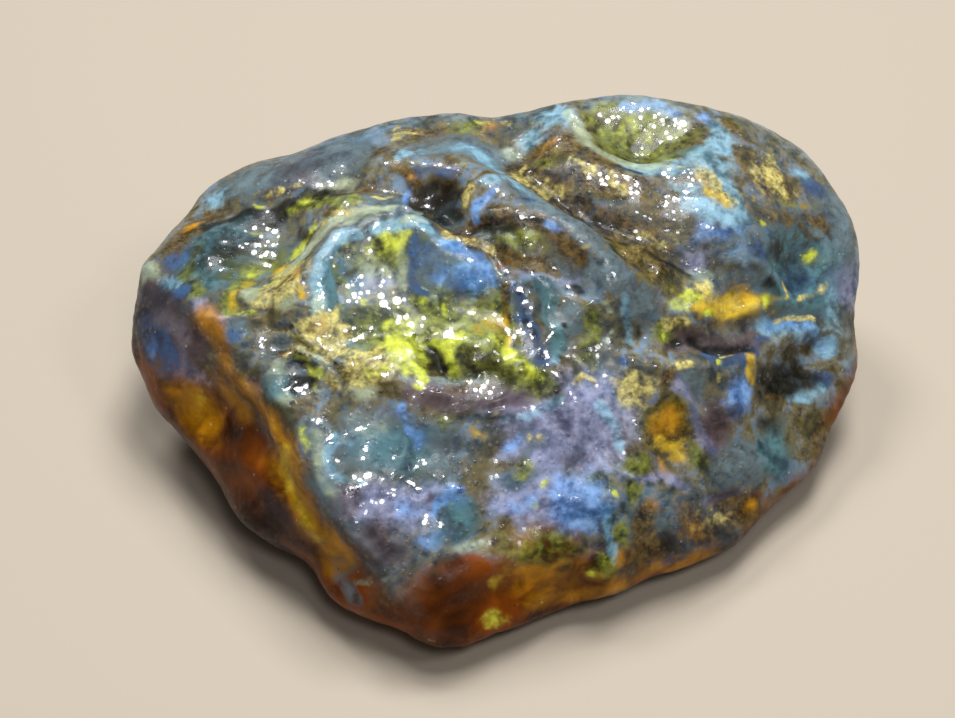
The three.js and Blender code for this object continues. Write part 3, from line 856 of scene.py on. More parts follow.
        Streak(((0.768, 0.735), (0.78, 0.71), (0.8, 0.685)), 0.5, 0.62),
        Patch((0.91, 0.757), (0.8, 0.35), 0.58),
        # Right bowl.
        Patch((0.883, 0.612), (0.5, 0.3), 0.85, turn=-35),
        Patch((0.893, 0.603), (0.25, 0.2), 0.9),
        # Golden patch and black hole.
        Patch((0.81, 0.545), (3.0, 1.1), turn=6),
        Patch((0.785, 0.525), (1.8, 0.7), 0.9, turn=14),
        Patch((0.845, 0.565), (1.4, 0.6), 0.85, turn=8),
        Patch((0.875, 0.58), (0.9, 0.4), 0.62, turn=10),
        Streak(((0.832, 0.478), (0.834, 0.465), (0.838, 0.452)), 0.45, 0.8),
        # Below the black hole.
        Streak(((0.712, 0.325), (0.722, 0.315), (0.735, 0.3)), 0.42, 0.9),
        Patch((0.728, 0.312), (1.1, 0.6), 0.85, turn=-45),
        # Front foot and low right rim.
        Patch((0.5, 0.08, 0.3), (0.8, 0.5), 0.56),
        # Back.
        Patch((0.5, 1.0, 0.44), (0.9, 0.5), 0.62, turn=10),
    ),
    Layer.LIME: (
        # Left bowl and saddle.
        Streak(((0.163, 0.673), (0.18, 0.683), (0.195, 0.69)), 0.3),
        Streak(((0.205, 0.705), (0.225, 0.72), (0.245, 0.73)), 0.45),
        Patch((0.225, 0.7), (1.4, 0.7), 0.55, turn=25),
        Patch((0.175, 0.748), (0.35, 0.25)),
        Patch((0.16, 0.662), (0.2, 0.15)),
        Patch((0.1, 0.6), (0.25, 0.2)),
        Streak(((0.22, 0.625), (0.235, 0.64), (0.255, 0.655)), 0.35, 0.85),
        Patch((0.168, 0.585), (1.0, 0.8), 0.45, turn=30),
        Patch((0.17, 0.488), (0.9, 0.35), 0.9, turn=5),
        # Flaky ground.
        Streak(((0.235, 0.4), (0.25, 0.38), (0.265, 0.365)), 0.32, 0.75),
        Streak(((0.25, 0.36), (0.265, 0.345), (0.28, 0.335)), 0.3, 0.75),
        Streak(((0.27, 0.365), (0.285, 0.35)), 0.28, 0.75),
        Patch((0.34, 0.36), (1.2, 0.7), 0.58),
        # Great bowl.
        Patch((0.345, 0.583), (2.2, 0.8), 0.62, turn=8),
        Streak(((0.318, 0.495), (0.325, 0.465)), 0.3, 0.75),
        Patch((0.39, 0.493), (0.8, 0.45), 0.8),
        Patch((0.43, 0.483), (0.3, 0.7), 0.7),
        Patch((0.375, 0.425), (1.3, 1.2), turn=-20),
        Patch((0.39, 0.39), (1.0, 1.4), 0.95, turn=-25),
        Streak(((0.39, 0.375), (0.397, 0.355), (0.4, 0.34)), 0.35, 0.9),
        Streak(((0.415, 0.415), (0.43, 0.395), (0.445, 0.375)), 0.5),
        Streak(((0.44, 0.37), (0.46, 0.358)), 0.25, 0.8),
        Patch((0.434, 0.385), (0.8, 0.5), 0.75, turn=-20),
        Streak(((0.5, 0.41), (0.53, 0.378), (0.552, 0.358)), 0.6, 0.75),
        Patch((0.437, 0.425), (1.2, 0.8), 0.78),
        # Right of the great bowl.
        Patch((0.714, 0.468), (0.2, 0.5), 0.75),
        # Ridge, pit and gullies.
        Patch((0.445, 0.747), (0.4, 0.25), 0.62),
        Patch((0.48, 0.743), (0.5, 0.4), 0.62),
        # Crest bowl and shoulder.
        Patch((0.652, 0.85), (1.9, 1.2), 0.4),
        Patch((0.695, 0.815), (2.0, 0.9), 0.5, turn=-15),
        Patch((0.712, 0.8), (0.6, 0.5)),
        # Right bowl.
        Patch((0.925, 0.688), (0.5, 0.45), 0.9),
        Patch((0.85, 0.675), (0.45, 0.4), 0.75),
        # Golden patch and black hole.
        Patch((0.755, 0.525), (1.2, 0.6), 0.8, turn=10),
        Patch((0.78, 0.515), (0.7, 0.45), 0.85),
        Patch((0.745, 0.515), (1.0, 0.7), 0.62),
        Patch((0.862, 0.57), (0.6, 0.6), 0.75),
        Patch((0.842, 0.425), (0.3, 0.2), 0.8, turn=-20),
        Patch((0.797, 0.452), (0.25, 0.25), 0.8),
        # Below the black hole.
        Patch((0.677, 0.268), (0.35, 0.22), 0.62, turn=-20),
        Patch((0.651, 0.22), (0.28, 0.28), 0.8),
        Patch((0.715, 0.187), (0.3, 0.2), 0.62),
        # Front.
        Patch((0.56, 0.215), (0.35, 0.25), 0.75),
        Patch((0.396, 0.125), (0.25, 0.2), 0.75),
        Patch((0.245, 0.262), (0.4, 0.9), 0.58, turn=20),
        # Front foot and low right rim.
        Patch((0.635, 0.13, 0.32), (0.9, 0.5), 0.75, turn=-25),
        Patch((0.61, 0.115, 0.28), (0.5, 0.35), 0.6),
        Patch((0.505, 0.045, 0.18), (1.0, 0.8), 0.58),
        # Back.
        Patch((0.78, 1.0, 0.6), (1.3, 0.8), 0.75, turn=20),
    ),
    # Painted shade: near-black film laid where the surface sinks, in the pit, the black hole, the
    # gullies, the cracks and the bowls.
    Layer.PAINTED_SHADE: (
        # Left flank and brow.
        Patch((0.155, 0.345, 0.45), (1.7, 1.4), 0.55, turn=-20),
        # Left bowl and saddle.
        Patch((0.185, 0.7), (2.2, 1.2), 0.9, turn=12),
        Patch((0.14, 0.64), (3.6, 3.2), 0.66),
        Streak(((0.11, 0.715), (0.15, 0.735), (0.2, 0.725), (0.24, 0.745), (0.29, 0.72)), 0.65, 0.85),
        Patch((0.185, 0.695), (2.0, 1.0), 0.85, turn=8),
        Patch((0.24, 0.655), (0.9, 0.6), 0.7, turn=20),
        # Flaky ground.
        Streak(((0.25, 0.395), (0.265, 0.375), (0.29, 0.35)), 0.14, 0.8),
        Streak(((0.205, 0.402), (0.225, 0.41)), 0.22, 0.8),
        Patch((0.238, 0.357), (0.9, 0.8)),
        # Great bowl.
        Patch((0.333, 0.573), (0.3, 0.25), 0.8),
        Patch((0.357, 0.465), (0.7, 0.6), 0.58),
        Streak(((0.525, 0.49), (0.535, 0.44), (0.55, 0.4)), 0.4, 0.6),
        Streak(((0.415, 0.395), (0.43, 0.37), (0.47, 0.362), (0.51, 0.365)), 0.6, 0.7),
        # Right of the great bowl.
        Patch((0.585, 0.453), (0.3, 0.3), 0.9),
        Patch((0.6, 0.505), (1.2, 0.45), 0.75, turn=-15),
        Patch((0.635, 0.535), (0.8, 0.4), 0.7, turn=-30),
        Patch((0.68, 0.465), (0.5, 0.7), 0.62),
        # Ridge, pit and gullies.
        Patch((0.42, 0.68), (2.2, 2.0), turn=20),
        Patch((0.5, 0.597), (1.8, 0.5), 0.8),
        Streak(((0.44, 0.612), (0.48, 0.612), (0.53, 0.615), (0.57, 0.59)), 0.32, 0.9),
        Streak(((0.57, 0.745), (0.6, 0.715), (0.64, 0.69), (0.67, 0.685)), 0.35, 0.8),
        Streak(((0.63, 0.755), (0.66, 0.745), (0.68, 0.725)), 0.32, 0.7),
        Streak(((0.64, 0.6), (0.67, 0.6), (0.7, 0.595)), 0.3, 0.75),
        Streak(((0.625, 0.645), (0.65, 0.64), (0.67, 0.62)), 0.45, 0.75),
        Streak(((0.69, 0.59), (0.72, 0.585), (0.75, 0.57)), 0.4, 0.75),
        # Crest bowl and shoulder.
        Patch((0.72, 0.845), (1.2, 0.5), 0.55, turn=-10),
        Streak(((0.655, 0.79), (0.69, 0.772), (0.73, 0.775)), 0.28, 0.65),
        Patch((0.618, 0.885), (0.7, 0.4), 0.7),
        # Right bowl.
        Patch((0.87, 0.655), (1.1, 0.9), 0.72),
        Patch((0.935, 0.668), (1.0, 0.8), 0.55),
        Streak(((0.862, 0.6), (0.875, 0.585)), 0.7, 0.75),
        # Golden patch and black hole.
        Streak(((0.735, 0.462), (0.77, 0.47), (0.81, 0.488), (0.835, 0.5)), 0.6, 0.85),
        Patch((0.882, 0.49), (3.0, 1.5), turn=12),
        Patch((0.905, 0.505), (1.6, 1.0), turn=12),
        Patch((0.865, 0.41), (1.4, 1.0), 0.62, turn=-20),
        # Below the black hole.
        Patch((0.8, 0.375), (0.8, 1.1), 0.55),
        Patch((0.83, 0.345), (1.0, 0.6), 0.55, turn=-30),
        # Front foot and low right rim.
        Patch((0.585, 0.125), (0.8, 0.5), 0.58),
        # Back.
        Patch((0.97, 0.8, 0.4), (1.6, 2.2), 0.7),
        Patch((0.24, 0.757), (0.8, 0.5), 0.75),
    ),
    # Where the film is beaded and wet, so that it glitters. Elsewhere it is smoother and duller.
    Layer.WET: (
        Patch((0.205, 0.645), (1.7, 2.0)),
        Patch((0.135, 0.62), (1.6, 2.4), 0.6),
        Streak(((0.27, 0.5), (0.285, 0.475), (0.3, 0.45), (0.33, 0.42), (0.35, 0.37)), 0.9),
        Streak(((0.315, 0.49), (0.34, 0.51), (0.365, 0.49)), 0.7),
        Streak(((0.38, 0.545), (0.395, 0.52), (0.42, 0.49)), 0.6),
        Patch((0.3, 0.552), (0.8, 0.8)),
        Patch((0.42, 0.455), (2.6, 2.2)),
        Patch((0.455, 0.515), (1.2, 0.8)),
        Patch((0.5, 0.44), (1.1, 2.0)),
        Streak(((0.518, 0.505), (0.53, 0.46), (0.545, 0.42), (0.56, 0.38)), 1.5),
        Streak(((0.405, 0.352), (0.435, 0.345), (0.47, 0.34)), 0.6),
        Streak(((0.29, 0.29), (0.3, 0.23), (0.34, 0.245), (0.38, 0.22), (0.44, 0.235)), 1.5),
        Streak(((0.34, 0.195), (0.38, 0.18), (0.41, 0.165), (0.4, 0.14)), 1.1),
        Streak(((0.37, 0.33), (0.39, 0.3), (0.4, 0.27)), 0.7),
        Patch((0.6, 0.305), (3.4, 2.0), 0.62),
        Patch((0.5, 0.31), (1.2, 0.8), 0.8),
        Patch((0.505, 0.155), (0.7, 0.7)),
        Patch((0.595, 0.175), (0.7, 0.7)),
        Patch((0.71, 0.685), (1.4, 1.0)),
        Streak(((0.665, 0.68), (0.69, 0.675), (0.74, 0.715)), 0.8),
        Streak(((0.7, 0.745), (0.75, 0.69), (0.765, 0.62), (0.795, 0.585)), 0.6),
        Patch((0.745, 0.86), (1.2, 0.9)),
        Patch((0.57, 0.88), (0.8, 0.6)),
        Streak(((0.65, 0.48), (0.66, 0.44), (0.67, 0.39)), 0.8),
        Patch((0.425, 0.675), (1.2, 1.2), 0.7),
        Patch((0.53, 0.6), (2.0, 0.9), 0.7),
        Patch((0.64, 0.72), (2.2, 1.4), 0.62),
        Patch((0.23, 0.345), (1.4, 1.4), 0.7),
    ),
}


@dataclass(frozen=True)
class Dent:
    """A path along which the surface is sunk: its places, half its width and its depth in mm.

    A negative depth raises the surface.
    """

    path: tuple[Place, ...]
    width: float
    depth: float


DENTS: tuple[Dent, ...] = (
    # The pit between the ridges and the black hole on the right.
    Dent(((0.405, 0.675), (0.43, 0.70)), 0.9, 0.7),
    Dent(((0.86, 0.487), (0.91, 0.505)), 0.8, 0.35),
    # The gullies.
    Dent(((0.46, 0.605), (0.50, 0.60), (0.55, 0.57)), 0.7, 0.45),
    Dent(((0.61, 0.65), (0.65, 0.63), (0.70, 0.61), (0.74, 0.60)), 0.8, 0.4),
    Dent(((0.54, 0.745), (0.58, 0.70), (0.62, 0.655)), 0.5, 0.4),
    Dent(((0.66, 0.57), (0.70, 0.555)), 0.4, 0.35),
    # The groove under the golden patch.
    Dent(((0.73, 0.455), (0.78, 0.475), (0.83, 0.50)), 0.5, 0.3),
    # The rims of the bowls.
    Dent(((0.27, 0.47), (0.265, 0.54), (0.29, 0.60), (0.33, 0.635), (0.38, 0.64)), 0.5, -0.28),
    Dent(((0.38, 0.64), (0.43, 0.62), (0.47, 0.575), (0.50, 0.53)), 0.45, -0.28),
    Dent(((0.60, 0.87), (0.61, 0.82), (0.64, 0.785), (0.68, 0.76), (0.73, 0.75)), 0.45, -0.22),
    Dent(((0.09, 0.56), (0.10, 0.51), (0.14, 0.48), (0.18, 0.47)), 0.4, -0.18),
    Dent(((0.44, 0.295), (0.48, 0.295), (0.52, 0.31)), 0.4, -0.2),
    Dent(((0.27, 0.25), (0.28, 0.21), (0.33, 0.19), (0.40, 0.175), (0.44, 0.19)), 0.4, -0.2),
    # Cracks in the flaky ground.
    Dent(((0.20, 0.455), (0.23, 0.445)), 0.3, 0.3),
    Dent(((0.20, 0.41), (0.24, 0.415), (0.27, 0.38), (0.30, 0.34)), 0.28, 0.3),
    Dent(((0.25, 0.43), (0.29, 0.40), (0.31, 0.37)), 0.25, 0.25),
    Dent(((0.23, 0.39), (0.26, 0.36), (0.28, 0.33)), 0.28, 0.3),
    Dent(((0.235, 0.365), (0.237, 0.36)), 0.6, 0.5),
    # Steps in the great bowl's floor.
    Dent(((0.515, 0.51), (0.515, 0.46), (0.52, 0.41)), 0.35, -0.2),
    Dent(((0.54, 0.50), (0.54, 0.44), (0.55, 0.39)), 0.45, 0.25),
    Dent(((0.41, 0.375), (0.45, 0.36), (0.50, 0.365)), 0.45, 0.35),
    Dent(((0.40, 0.42), (0.42, 0.39), (0.43, 0.37)), 0.35, 0.2),
)


def faded(distance: np.ndarray) -> np.ndarray:
    """Fades a mark out: 1 in its middle, 0.5 on its rim, where the distance is 1."""
    return 0.5 ** (distance**2)


class Skin:
    """The lump's surface as arrays: its points, which way they face, and what lies on them."""

    ACROSS: ClassVar[np.ndarray] = np.array([1.0, 0.0, 0.0])
    FACES_UP: ClassVar[float] = 0.1
    SWAYS: ClassVar[tuple[tuple[float, float], ...]] = ((3.6, 0.75), (1.3, 0.42))
    SWAY_SEED: ClassVar[int] = 7

    def __init__(self, mesh: bpy.types.Mesh, box: Box) -> None:
        """Reads the mesh.

        Args:
            mesh: The finished mesh.
            box: The lump's box, in which marks are placed.
        """
        self.mesh = mesh
        self.box = box
        self.points = self.read("co")
        self.normals = self.read("normal")
        self.swayed = self.points + self.sway() * MM

    def read(self, name: str) -> np.ndarray:
        """Reads a vector from every vertex.

        Args:
            name: The vertex property.

        Returns:
            One row for each vertex.
        """
        values = np.empty(len(self.mesh.vertices) * 3, np.float32)
        self.mesh.vertices.foreach_get(name, values)
        return values.reshape(-1, 3).astype(float)

    def sway(self) -> np.ndarray:
        """Makes a gentle wander that keeps the marks' outlines from being smooth ovals.

        Returns:
            One offset for each point, in millimetres.
        """
        # Blender seeds this noise from the clock unless it is given a seed.
        noise.seed_set(self.SWAY_SEED)
        total = np.zeros_like(self.points)
        for length, reach in self.SWAYS:
            scaled = self.points / (length * MM)
            total += reach * np.array([noise.noise_vector(Vector(row)) for row in scaled])
        return total

    def nearest(self, place: Place) -> int:
        """Finds the point nearest to a place.

        Args:
            place: Three shares of the box, or two for a place seen from above.

        Returns:
            The point's number.
        """
        wanted = np.array(self.box.at(place if len(place) == 3 else (*place, 1.0)))
        gaps = (self.points - wanted) ** 2
        if len(place) == 2:
            hidden = self.normals[:, 2] < self.FACES_UP
            return int(np.argmin(gaps[:, 0] + gaps[:, 1] + hidden))
        return int(np.argmin(gaps.sum(axis=1)))

    def distance_to_patch(self, patch: Patch) -> np.ndarray:
        """Measures how far the points are from an oval mark.

        Args:
            patch: The mark.

        Returns:
            One number for each point: 0 in the middle, 1 on the rim.
        """
        centre = self.nearest(patch.at)
        normal = self.normals[centre]
        along = self.ACROSS - normal * normal.dot(self.ACROSS)
        along /= np.linalg.norm(along)
        angle = math.radians(patch.turn)
        turned = along * math.cos(angle) + np.cross(normal, along) * math.sin(angle)
        offset = (self.swayed - self.points[centre]) / MM
        return np.sqrt(
            (offset @ turned / patch.radii[0]) ** 2
            + (offset @ np.cross(normal, turned) / patch.radii[1]) ** 2
            + (offset @ normal / max(*patch.radii, 1.0)) ** 2
        )

    def distance_to_path(self, path: tuple[Place, ...], width: float) -> np.ndarray:
        """Measures how far the points are from a path.

        Args:
            path: Its places.
            width: Half its width in millimetres.

        Returns:
            One number for each point: 0 on the middle line, 1 on the edge.
        """
        stops = [self.points[self.nearest(place)] for place in path]
        nearest = np.full(len(self.points), np.inf)
        for start, end in zip(stops, stops[1:]):
            line = end - start
            share = np.clip((self.swayed - start) @ line / line.dot(line), 0, 1)
            gap = self.swayed - start - share[:, None] * line
            nearest = np.minimum(nearest, np.linalg.norm(gap, axis=1))
        return nearest / (width * MM)

    def dent(self) -> None:
        """Sinks and raises the surface along the dents, and reads it again."""
        depth = np.zeros(len(self.points))
        for mark in DENTS:
            depth += mark.depth * faded(self.distance_to_path(mark.path, mark.width))
        moved = self.points - self.normals * depth[:, None] * MM
        self.mesh.vertices.foreach_set("co", moved.astype(np.float32).ravel())
        self.mesh.update()
        self.points = self.read("co")
        self.normals = self.read("normal")
        self.swayed = self.points + self.sway() * MM

    def layer_strength(self, layer: Layer) -> np.ndarray:
        """Lays all marks of one layer.

        Args:
            layer: The layer.

        Returns:
            One number for each point: 1 in a full mark's middle, 0.5 on its rim.
        """
        strength = np.zeros(len(self.points))
        for mark in MARKS[layer]:
            if isinstance(mark, Patch):
                distance = self.distance_to_patch(mark)
            else:
                distance = self.distance_to_path(mark.path, mark.width)
            strength = np.maximum(strength, mark.strength * faded(distance))
        return strength

    def hollowness(self, rounds: int) -> np.ndarray:
        """Measures how deep each point lies in its surroundings.

        Args:
            rounds: How many times the surface is smoothed for comparison.

        Returns:
            One number for each point, in millimetres: positive in hollows, negative on ridges.
        """
        edges = np.empty(len(self.mesh.edges) * 2, np.int32)
        self.mesh.edges.foreach_get("vertices", edges)
        one, two = edges.reshape(-1, 2).T
        count = np.bincount(np.concatenate([one, two]), minlength=len(self.points))
        smooth = self.points.copy()
        for _ in range(rounds):
            total = np.zeros_like(smooth)
            for axis in range(3):
                total[:, axis] = np.bincount(one, smooth[two, axis], len(smooth))
                total[:, axis] += np.bincount(two, smooth[one, axis], len(smooth))
            smooth = (smooth + total / count[:, None]) / 2
        return ((smooth - self.points) * self.normals).sum(axis=1) / MM

    def store(self, name: str, values: np.ndarray) -> None:
        """Keeps one number for each point on the mesh.

        Args:
            name: The attribute's name.
            values: The numbers.
        """
        attribute = self.mesh.attributes.new(name, "FLOAT", "POINT")
        attribute.data.foreach_set("value", values.astype(np.float32))


# ------------------------------------------------------------------------------ finishes


@dataclass(frozen=True)
class Tint:
    """One kind of film.

    Attributes:
        deep: Its darker tone.
        bright: Its lighter tone.
        hides: How much of the resin it hides.
        crust: How coarse its grain is.
        ragged: How much its edge is broken up.
        soft: How gently it fades out, as half a mark's strength at most.
        cover: How much it hides of the film under it.
    """

    deep: Colour
    bright: Colour
    hides: float
    crust: float = 0.2
    ragged: float = 0.7
    soft: float = 0.2
    cover: float = 0.95


# In the order in which they are laid, so that each lies over those before it.
TINTS: dict[Layer, Tint] = {
    Layer.AMBER: Tint(srgb("#220c00"), srgb("#844002"), 0.86, 0.0, 0.3, 0.36, 0.98),
    Layer.RUSSET: Tint(srgb("#140602"), srgb("#522808"), 0.88, 0.0, 0.3, 0.34, 0.95),
    Layer.SLATE: Tint(srgb("#20282c"), srgb("#6a7e84"), 0.86, 0.2, 0.8, 0.24, 0.80),
    Layer.LAVENDER: Tint(srgb("#545a78"), srgb("#9ca0c0"), 0.90, 0.1, 0.7, 0.28, 0.72),
    Layer.PLUM: Tint(srgb("#281e24"), srgb("#68585c"), 0.84, 0.1, 0.4, 0.34, 0.82),
    Layer.TEAL: Tint(srgb("#102e34"), srgb("#5a868c"), 0.84, 0.1, 0.8, 0.24, 0.82),
    Layer.OLIVE: Tint(srgb("#20220a"), srgb("#88903a"), 0.84, 0.1, 0.8, 0.26, 0.86),
    Layer.BROWN: Tint(srgb("#181004"), srgb("#6c582e"), 0.86, 0.6, 1.1, 0.24, 0.86),
    Layer.NAVY: Tint(srgb("#101c34"), srgb("#3e5e88"), 0.88, 0.1, 0.7, 0.26, 0.78),
    Layer.SKY: Tint(srgb("#406e80"), srgb("#8cbacc"), 0.92, 0.2, 1.0, 0.26, 0.62),
    Layer.AZURE: Tint(srgb("#2e5890"), srgb("#74a4dc"), 0.92, 0.1, 0.9, 0.28, 0.66),
    Layer.PALE: Tint(srgb("#667868"), srgb("#bec8a0"), 0.94, 0.3, 1.0, 0.26, 0.68),
    Layer.SAND: Tint(srgb("#5e5020"), srgb("#ccc072"), 0.95, 0.6, 1.2, 0.24, 0.80),
    Layer.HONEY: Tint(srgb("#6e4202"), srgb("#d8980e"), 0.86, 0.1, 0.4, 0.36, 0.88),
    Layer.GOLD: Tint(srgb("#846a10"), srgb("#e8c438"), 0.90, 0.1, 0.9, 0.28, 0.86),
    Layer.LIME: Tint(srgb("#4a5410"), srgb("#c8d044"), 0.90, 0.1, 1.1, 0.26, 0.80),
    # Painted shade: near-black film for the pit, the black hole, the gullies, the cracks and the bowls.
    Layer.PAINTED_SHADE: Tint(srgb("#040504"), srgb("#222624"), 0.92, 0.1, 0.8, 0.26, 0.92),
}


@dataclass(frozen=True)
class Swells:
    """The patterns that nature drew in the film: numbers about 0.5 that vary over the lump.

    Attributes:
        slow: Clouds 8 mm across.
        broad: Stirred clouds 2.2 mm across.
        flaky: Stirred flakes 1.2 mm across.
        fine: Mottling 0.6 mm across.
        grain: Grain 0.25 mm across.
    """

    slow: Port
    broad: Port
    flaky: Port
    fine: Port
    grain: Port

    @staticmethod
    def over(bench: Bench, where: Port) -> "Swells":
        """Spreads the patterns over the lump.

        Args:
            bench: The material's bench.
            where: The place on the lump, in metres.

        Returns:
            The patterns.
        """
        return Swells(
            slow=bench.noise(where, 8 * MM, 1.0),
            broad=bench.noise(where, 2.2 * MM, 2.0, 4.0, 0.8),
            flaky=bench.noise(where, 1.2 * MM, 5.0, 4.0, 0.6),
            fine=bench.noise(where, 0.6 * MM, 3.0, 3.0),
            grain=bench.noise(where, 0.25 * MM, 4.0, 1.0),
        )

    def lobed_edge(self) -> Port:
        """How far a film's edge wanders, in rounded lobes."""
        return (self.broad - 0.5) * 0.9 + (self.fine - 0.5) * 0.40

    def flaked_edge(self) -> Port:
        """How far a film's edge wanders, in flakes."""
        return (self.flaky - 0.5) * 1.0 + (self.fine - 0.5) * 0.25

    def cloudy(self) -> Port:
        """The mottling of most films."""
        return self.broad * 0.62 + self.fine * 0.38

    def crumbly(self) -> Port:
        """The mottling of crusts."""
        return self.flaky * 0.48 + self.fine * 0.35 + self.grain * 0.17

    def glassy(self) -> Port:
        """The slow swirl of bare resin."""
        return self.slow * 0.55 + self.broad * 0.45


@dataclass(frozen=True)
class Domes:
    """Low round domes of many widths that glitter on the film, each with its own slope.

    Attributes:
        size: How far apart they stand, in metres.
        slopes: The least and the greatest slope at a dome's rim.
        reach: The least and the greatest radius of a dome, as shares of its cell.
        speck_radius: The radius of the speck in a cell's middle, as a share of the cell.
        speck_share: Which share of the cells holds a dark pore. As many hold pale grit.
    """

    size: float
    slopes: tuple[float, float]
    reach: tuple[float, float] = (0.16, 0.48)
    speck_radius: float = 0.15
    speck_share: float = 0.34

    def strew(self, bench: Bench, where: Port) -> tuple[Port, Port, Port, Port]:
        """Strews the domes and their specks over the lump.

        Args:
            bench: The material's bench.
            where: The place on the lump, in metres.

        Returns:
            The domes' height in millimetres, how far each place is on a dome, how far it is
            a dark pore, and how far it is a pale speck of grit.
        """
        inputs = {"Vector": where, "Scale": 1 / self.size, "Randomness": 0.95}
        gap = bench.node("ShaderNodeTexVoronoi", {"feature": "F1"}, inputs, "Distance")
        dice = bench.node("ShaderNodeSeparateXYZ", {}, {"Vector": gap.sibling("Color")}, "X")
        reach = dice.between(*self.reach)
        slope = dice.sibling("Y").between(*self.slopes)
        share = gap / reach
        dome = (1 - share * share).maximum(0.0)
        height = dome * reach * slope * (self.size / MM / 2)
        speck = (1 - gap / self.speck_radius).rise(0.0, 0.6)
        chance = dice.sibling("Z")
        least = 1 - self.speck_share
        pore = speck * chance.rise(least, least + 0.01)
        grit = speck * (1 - chance).rise(least, least + 0.01)
        return height, dome.rise(0.02, 0.20), pore, grit


@dataclass(frozen=True)
class AmberFinish:
    """Clear resin under a broken film: one material for the whole lump.

    Attributes:
        refraction: The index of refraction of the resin and of the film.
        resin_tint: The tint of the light that enters the resin.
        absorbed: The colour that is left of light that crosses the lump.
        absorption_density: How fast the resin absorbs light, per metre.
        resin_roughness: The resin's roughness between the domes and on them.
        umber: The common film where it is earthy.
        slate: The common film where it is grey.
        fleck: The blue of the flecks in the common film.
        rust: The rust in the common film.
        hollow_shade: The painted shade that darkens the hollows.
        ridge_highlight: The painted highlight that pales the ridges.
        pore: The dark of the pores.
        grit: The pale of the grit.
        film_depth: How bright the film is as a whole.
        film_roughness: Its roughness where it is dry and where it is wet.
        film_sheen: How much it shines between the domes.
        crusty: How much crust makes a film crumbly.
        clear: How smooth an edge makes a film glassy.
        beads: The larger domes.
        drops: The smaller domes.
        wet_refraction: The index of refraction of the clear coat on the domes.
        wet_roughness: The roughness of that coat.
        least_coat: How much of that coat is left between the domes.
        dry_coat: How much of it the domes have where the film is dry.
        dry_height: How high the larger domes are there, as a share of their height.
        bare_gloss: How wet the bare resin counts.
        bare_domes: How many of the domes it keeps.
    """

    refraction: float = 1.54
    resin_tint: Colour = srgb("#f6e2c0")
    absorbed: Colour = (0.88, 0.58, 0.12, 1.0)
    absorption_density: float = 230.0
    resin_roughness: tuple[float, float] = (0.26, 0.08)
    umber: Tint = Tint(srgb("#2a2212"), srgb("#827856"), 0.86)
    slate: Tint = Tint(srgb("#222c32"), srgb("#6a8088"), 0.86)
    fleck: Colour = srgb("#4090c8")
    rust: Colour = srgb("#50481e")
    hollow_shade: Colour = srgb("#161510")
    ridge_highlight: Colour = srgb("#a8c0c4")
    pore: Colour = srgb("#06090a")
    grit: Colour = srgb("#c4d0ac")
    film_depth: float = 1.06
    film_roughness: tuple[float, float] = (0.36, 0.14)
    film_sheen: float = 0.06
    crusty: float = 0.25
    clear: float = 0.45
    beads: Domes = Domes(0.90 * MM, (0.07, 0.38))
    drops: Domes = Domes(0.52 * MM, (0.15, 0.65))
    wet_refraction: float = 1.9
    wet_roughness: float = 0.07
    least_coat: float = 0.02
    dry_coat: float = 0.60
    dry_height: float = 0.45
    bare_gloss: float = 0.30
    bare_domes: float = 0.12

    def ground(self, bench: Bench, swells: Swells) -> tuple[Port, Port]:
        """Lays the common film, which is earthy in places and grey in others.

        Args:
            bench: The material's bench.
            swells: The film's patterns.

        Returns:
            Its colour, and how much of the resin it hides.
        """
        earthy = (swells.slow + swells.lobed_edge() * 0.9).rise(0.32, 0.54)
        deep = bench.blend(earthy, self.slate.deep, self.umber.deep)
        bright = bench.blend(earthy, self.slate.bright, self.umber.bright)
        colour = bench.blend(swells.cloudy().rise(0.28, 0.72), deep, bright)
        flecked = (swells.broad + swells.grain * 0.3).rise(0.62, 0.86)
        colour = bench.blend(flecked * 0.4, colour, self.fleck)
        rusty = (1 - swells.broad + swells.fine * 0.4).rise(0.66, 0.94)
        colour = bench.blend(rusty * 0.5, colour, self.rust)
        return colour, earthy.between(self.slate.hides, self.umber.hides)

    def films(self, bench: Bench, swells: Swells, colour: Port, hides: Port) -> tuple[Port, Port]:
        """Lays the marked films over the common one, one layer after the other.

        Args:
            bench: The material's bench.
            swells: The film's patterns.
            colour: The colour so far.
            hides: How much of the resin is hidden so far.

        Returns:
            The colour, and how much of the resin is hidden.
        """
        lobed, flaked = swells.lobed_edge(), swells.flaked_edge()
        cloudy, crumbly, glassy = swells.cloudy(), swells.crumbly(), swells.glassy()
        for number, (layer, tint) in enumerate(TINTS.items(), 1):
            wander = flaked if number % 2 else lobed
            covered = bench.kept(layer.value) + wander * tint.ragged
            covered = covered.rise(0.5 - tint.soft, 0.5 + tint.soft) * tint.cover
            swirl = crumbly if tint.crust > self.crusty else cloudy
            swirl = glassy if tint.ragged < self.clear else swirl
            tone = (swirl if number % 3 else 1 - swirl).rise(0.34, 0.66)
            colour = bench.blend(covered, colour, bench.blend(tone, tint.deep, tint.bright))
            hides = covered.between(hides, tint.hides)
        return colour, hides

    def build(self) -> bpy.types.Material:
        """Builds the material.

        Returns:
            The material.
        """
        material = bpy.data.materials.new("weathered amber")
        material.use_nodes = True
        material.node_tree.nodes.clear()
        bench = Bench(material.node_tree)
        where = bench.node("ShaderNodeTexCoord", output="Object")
        swells = Swells.over(bench, where)
        hollow, crust = bench.kept("hollow"), bench.kept("crust")
        bare = bench.kept(Layer.AMBER.value)
        wet = (bench.kept(Layer.WET.value) + (swells.fine - 0.5) * 0.5).rise(0.3, 0.6)
        beads, on_bead, pore, grit = self.beads.strew(bench, where)
        drops, on_drop, *_ = self.drops.strew(bench, where)

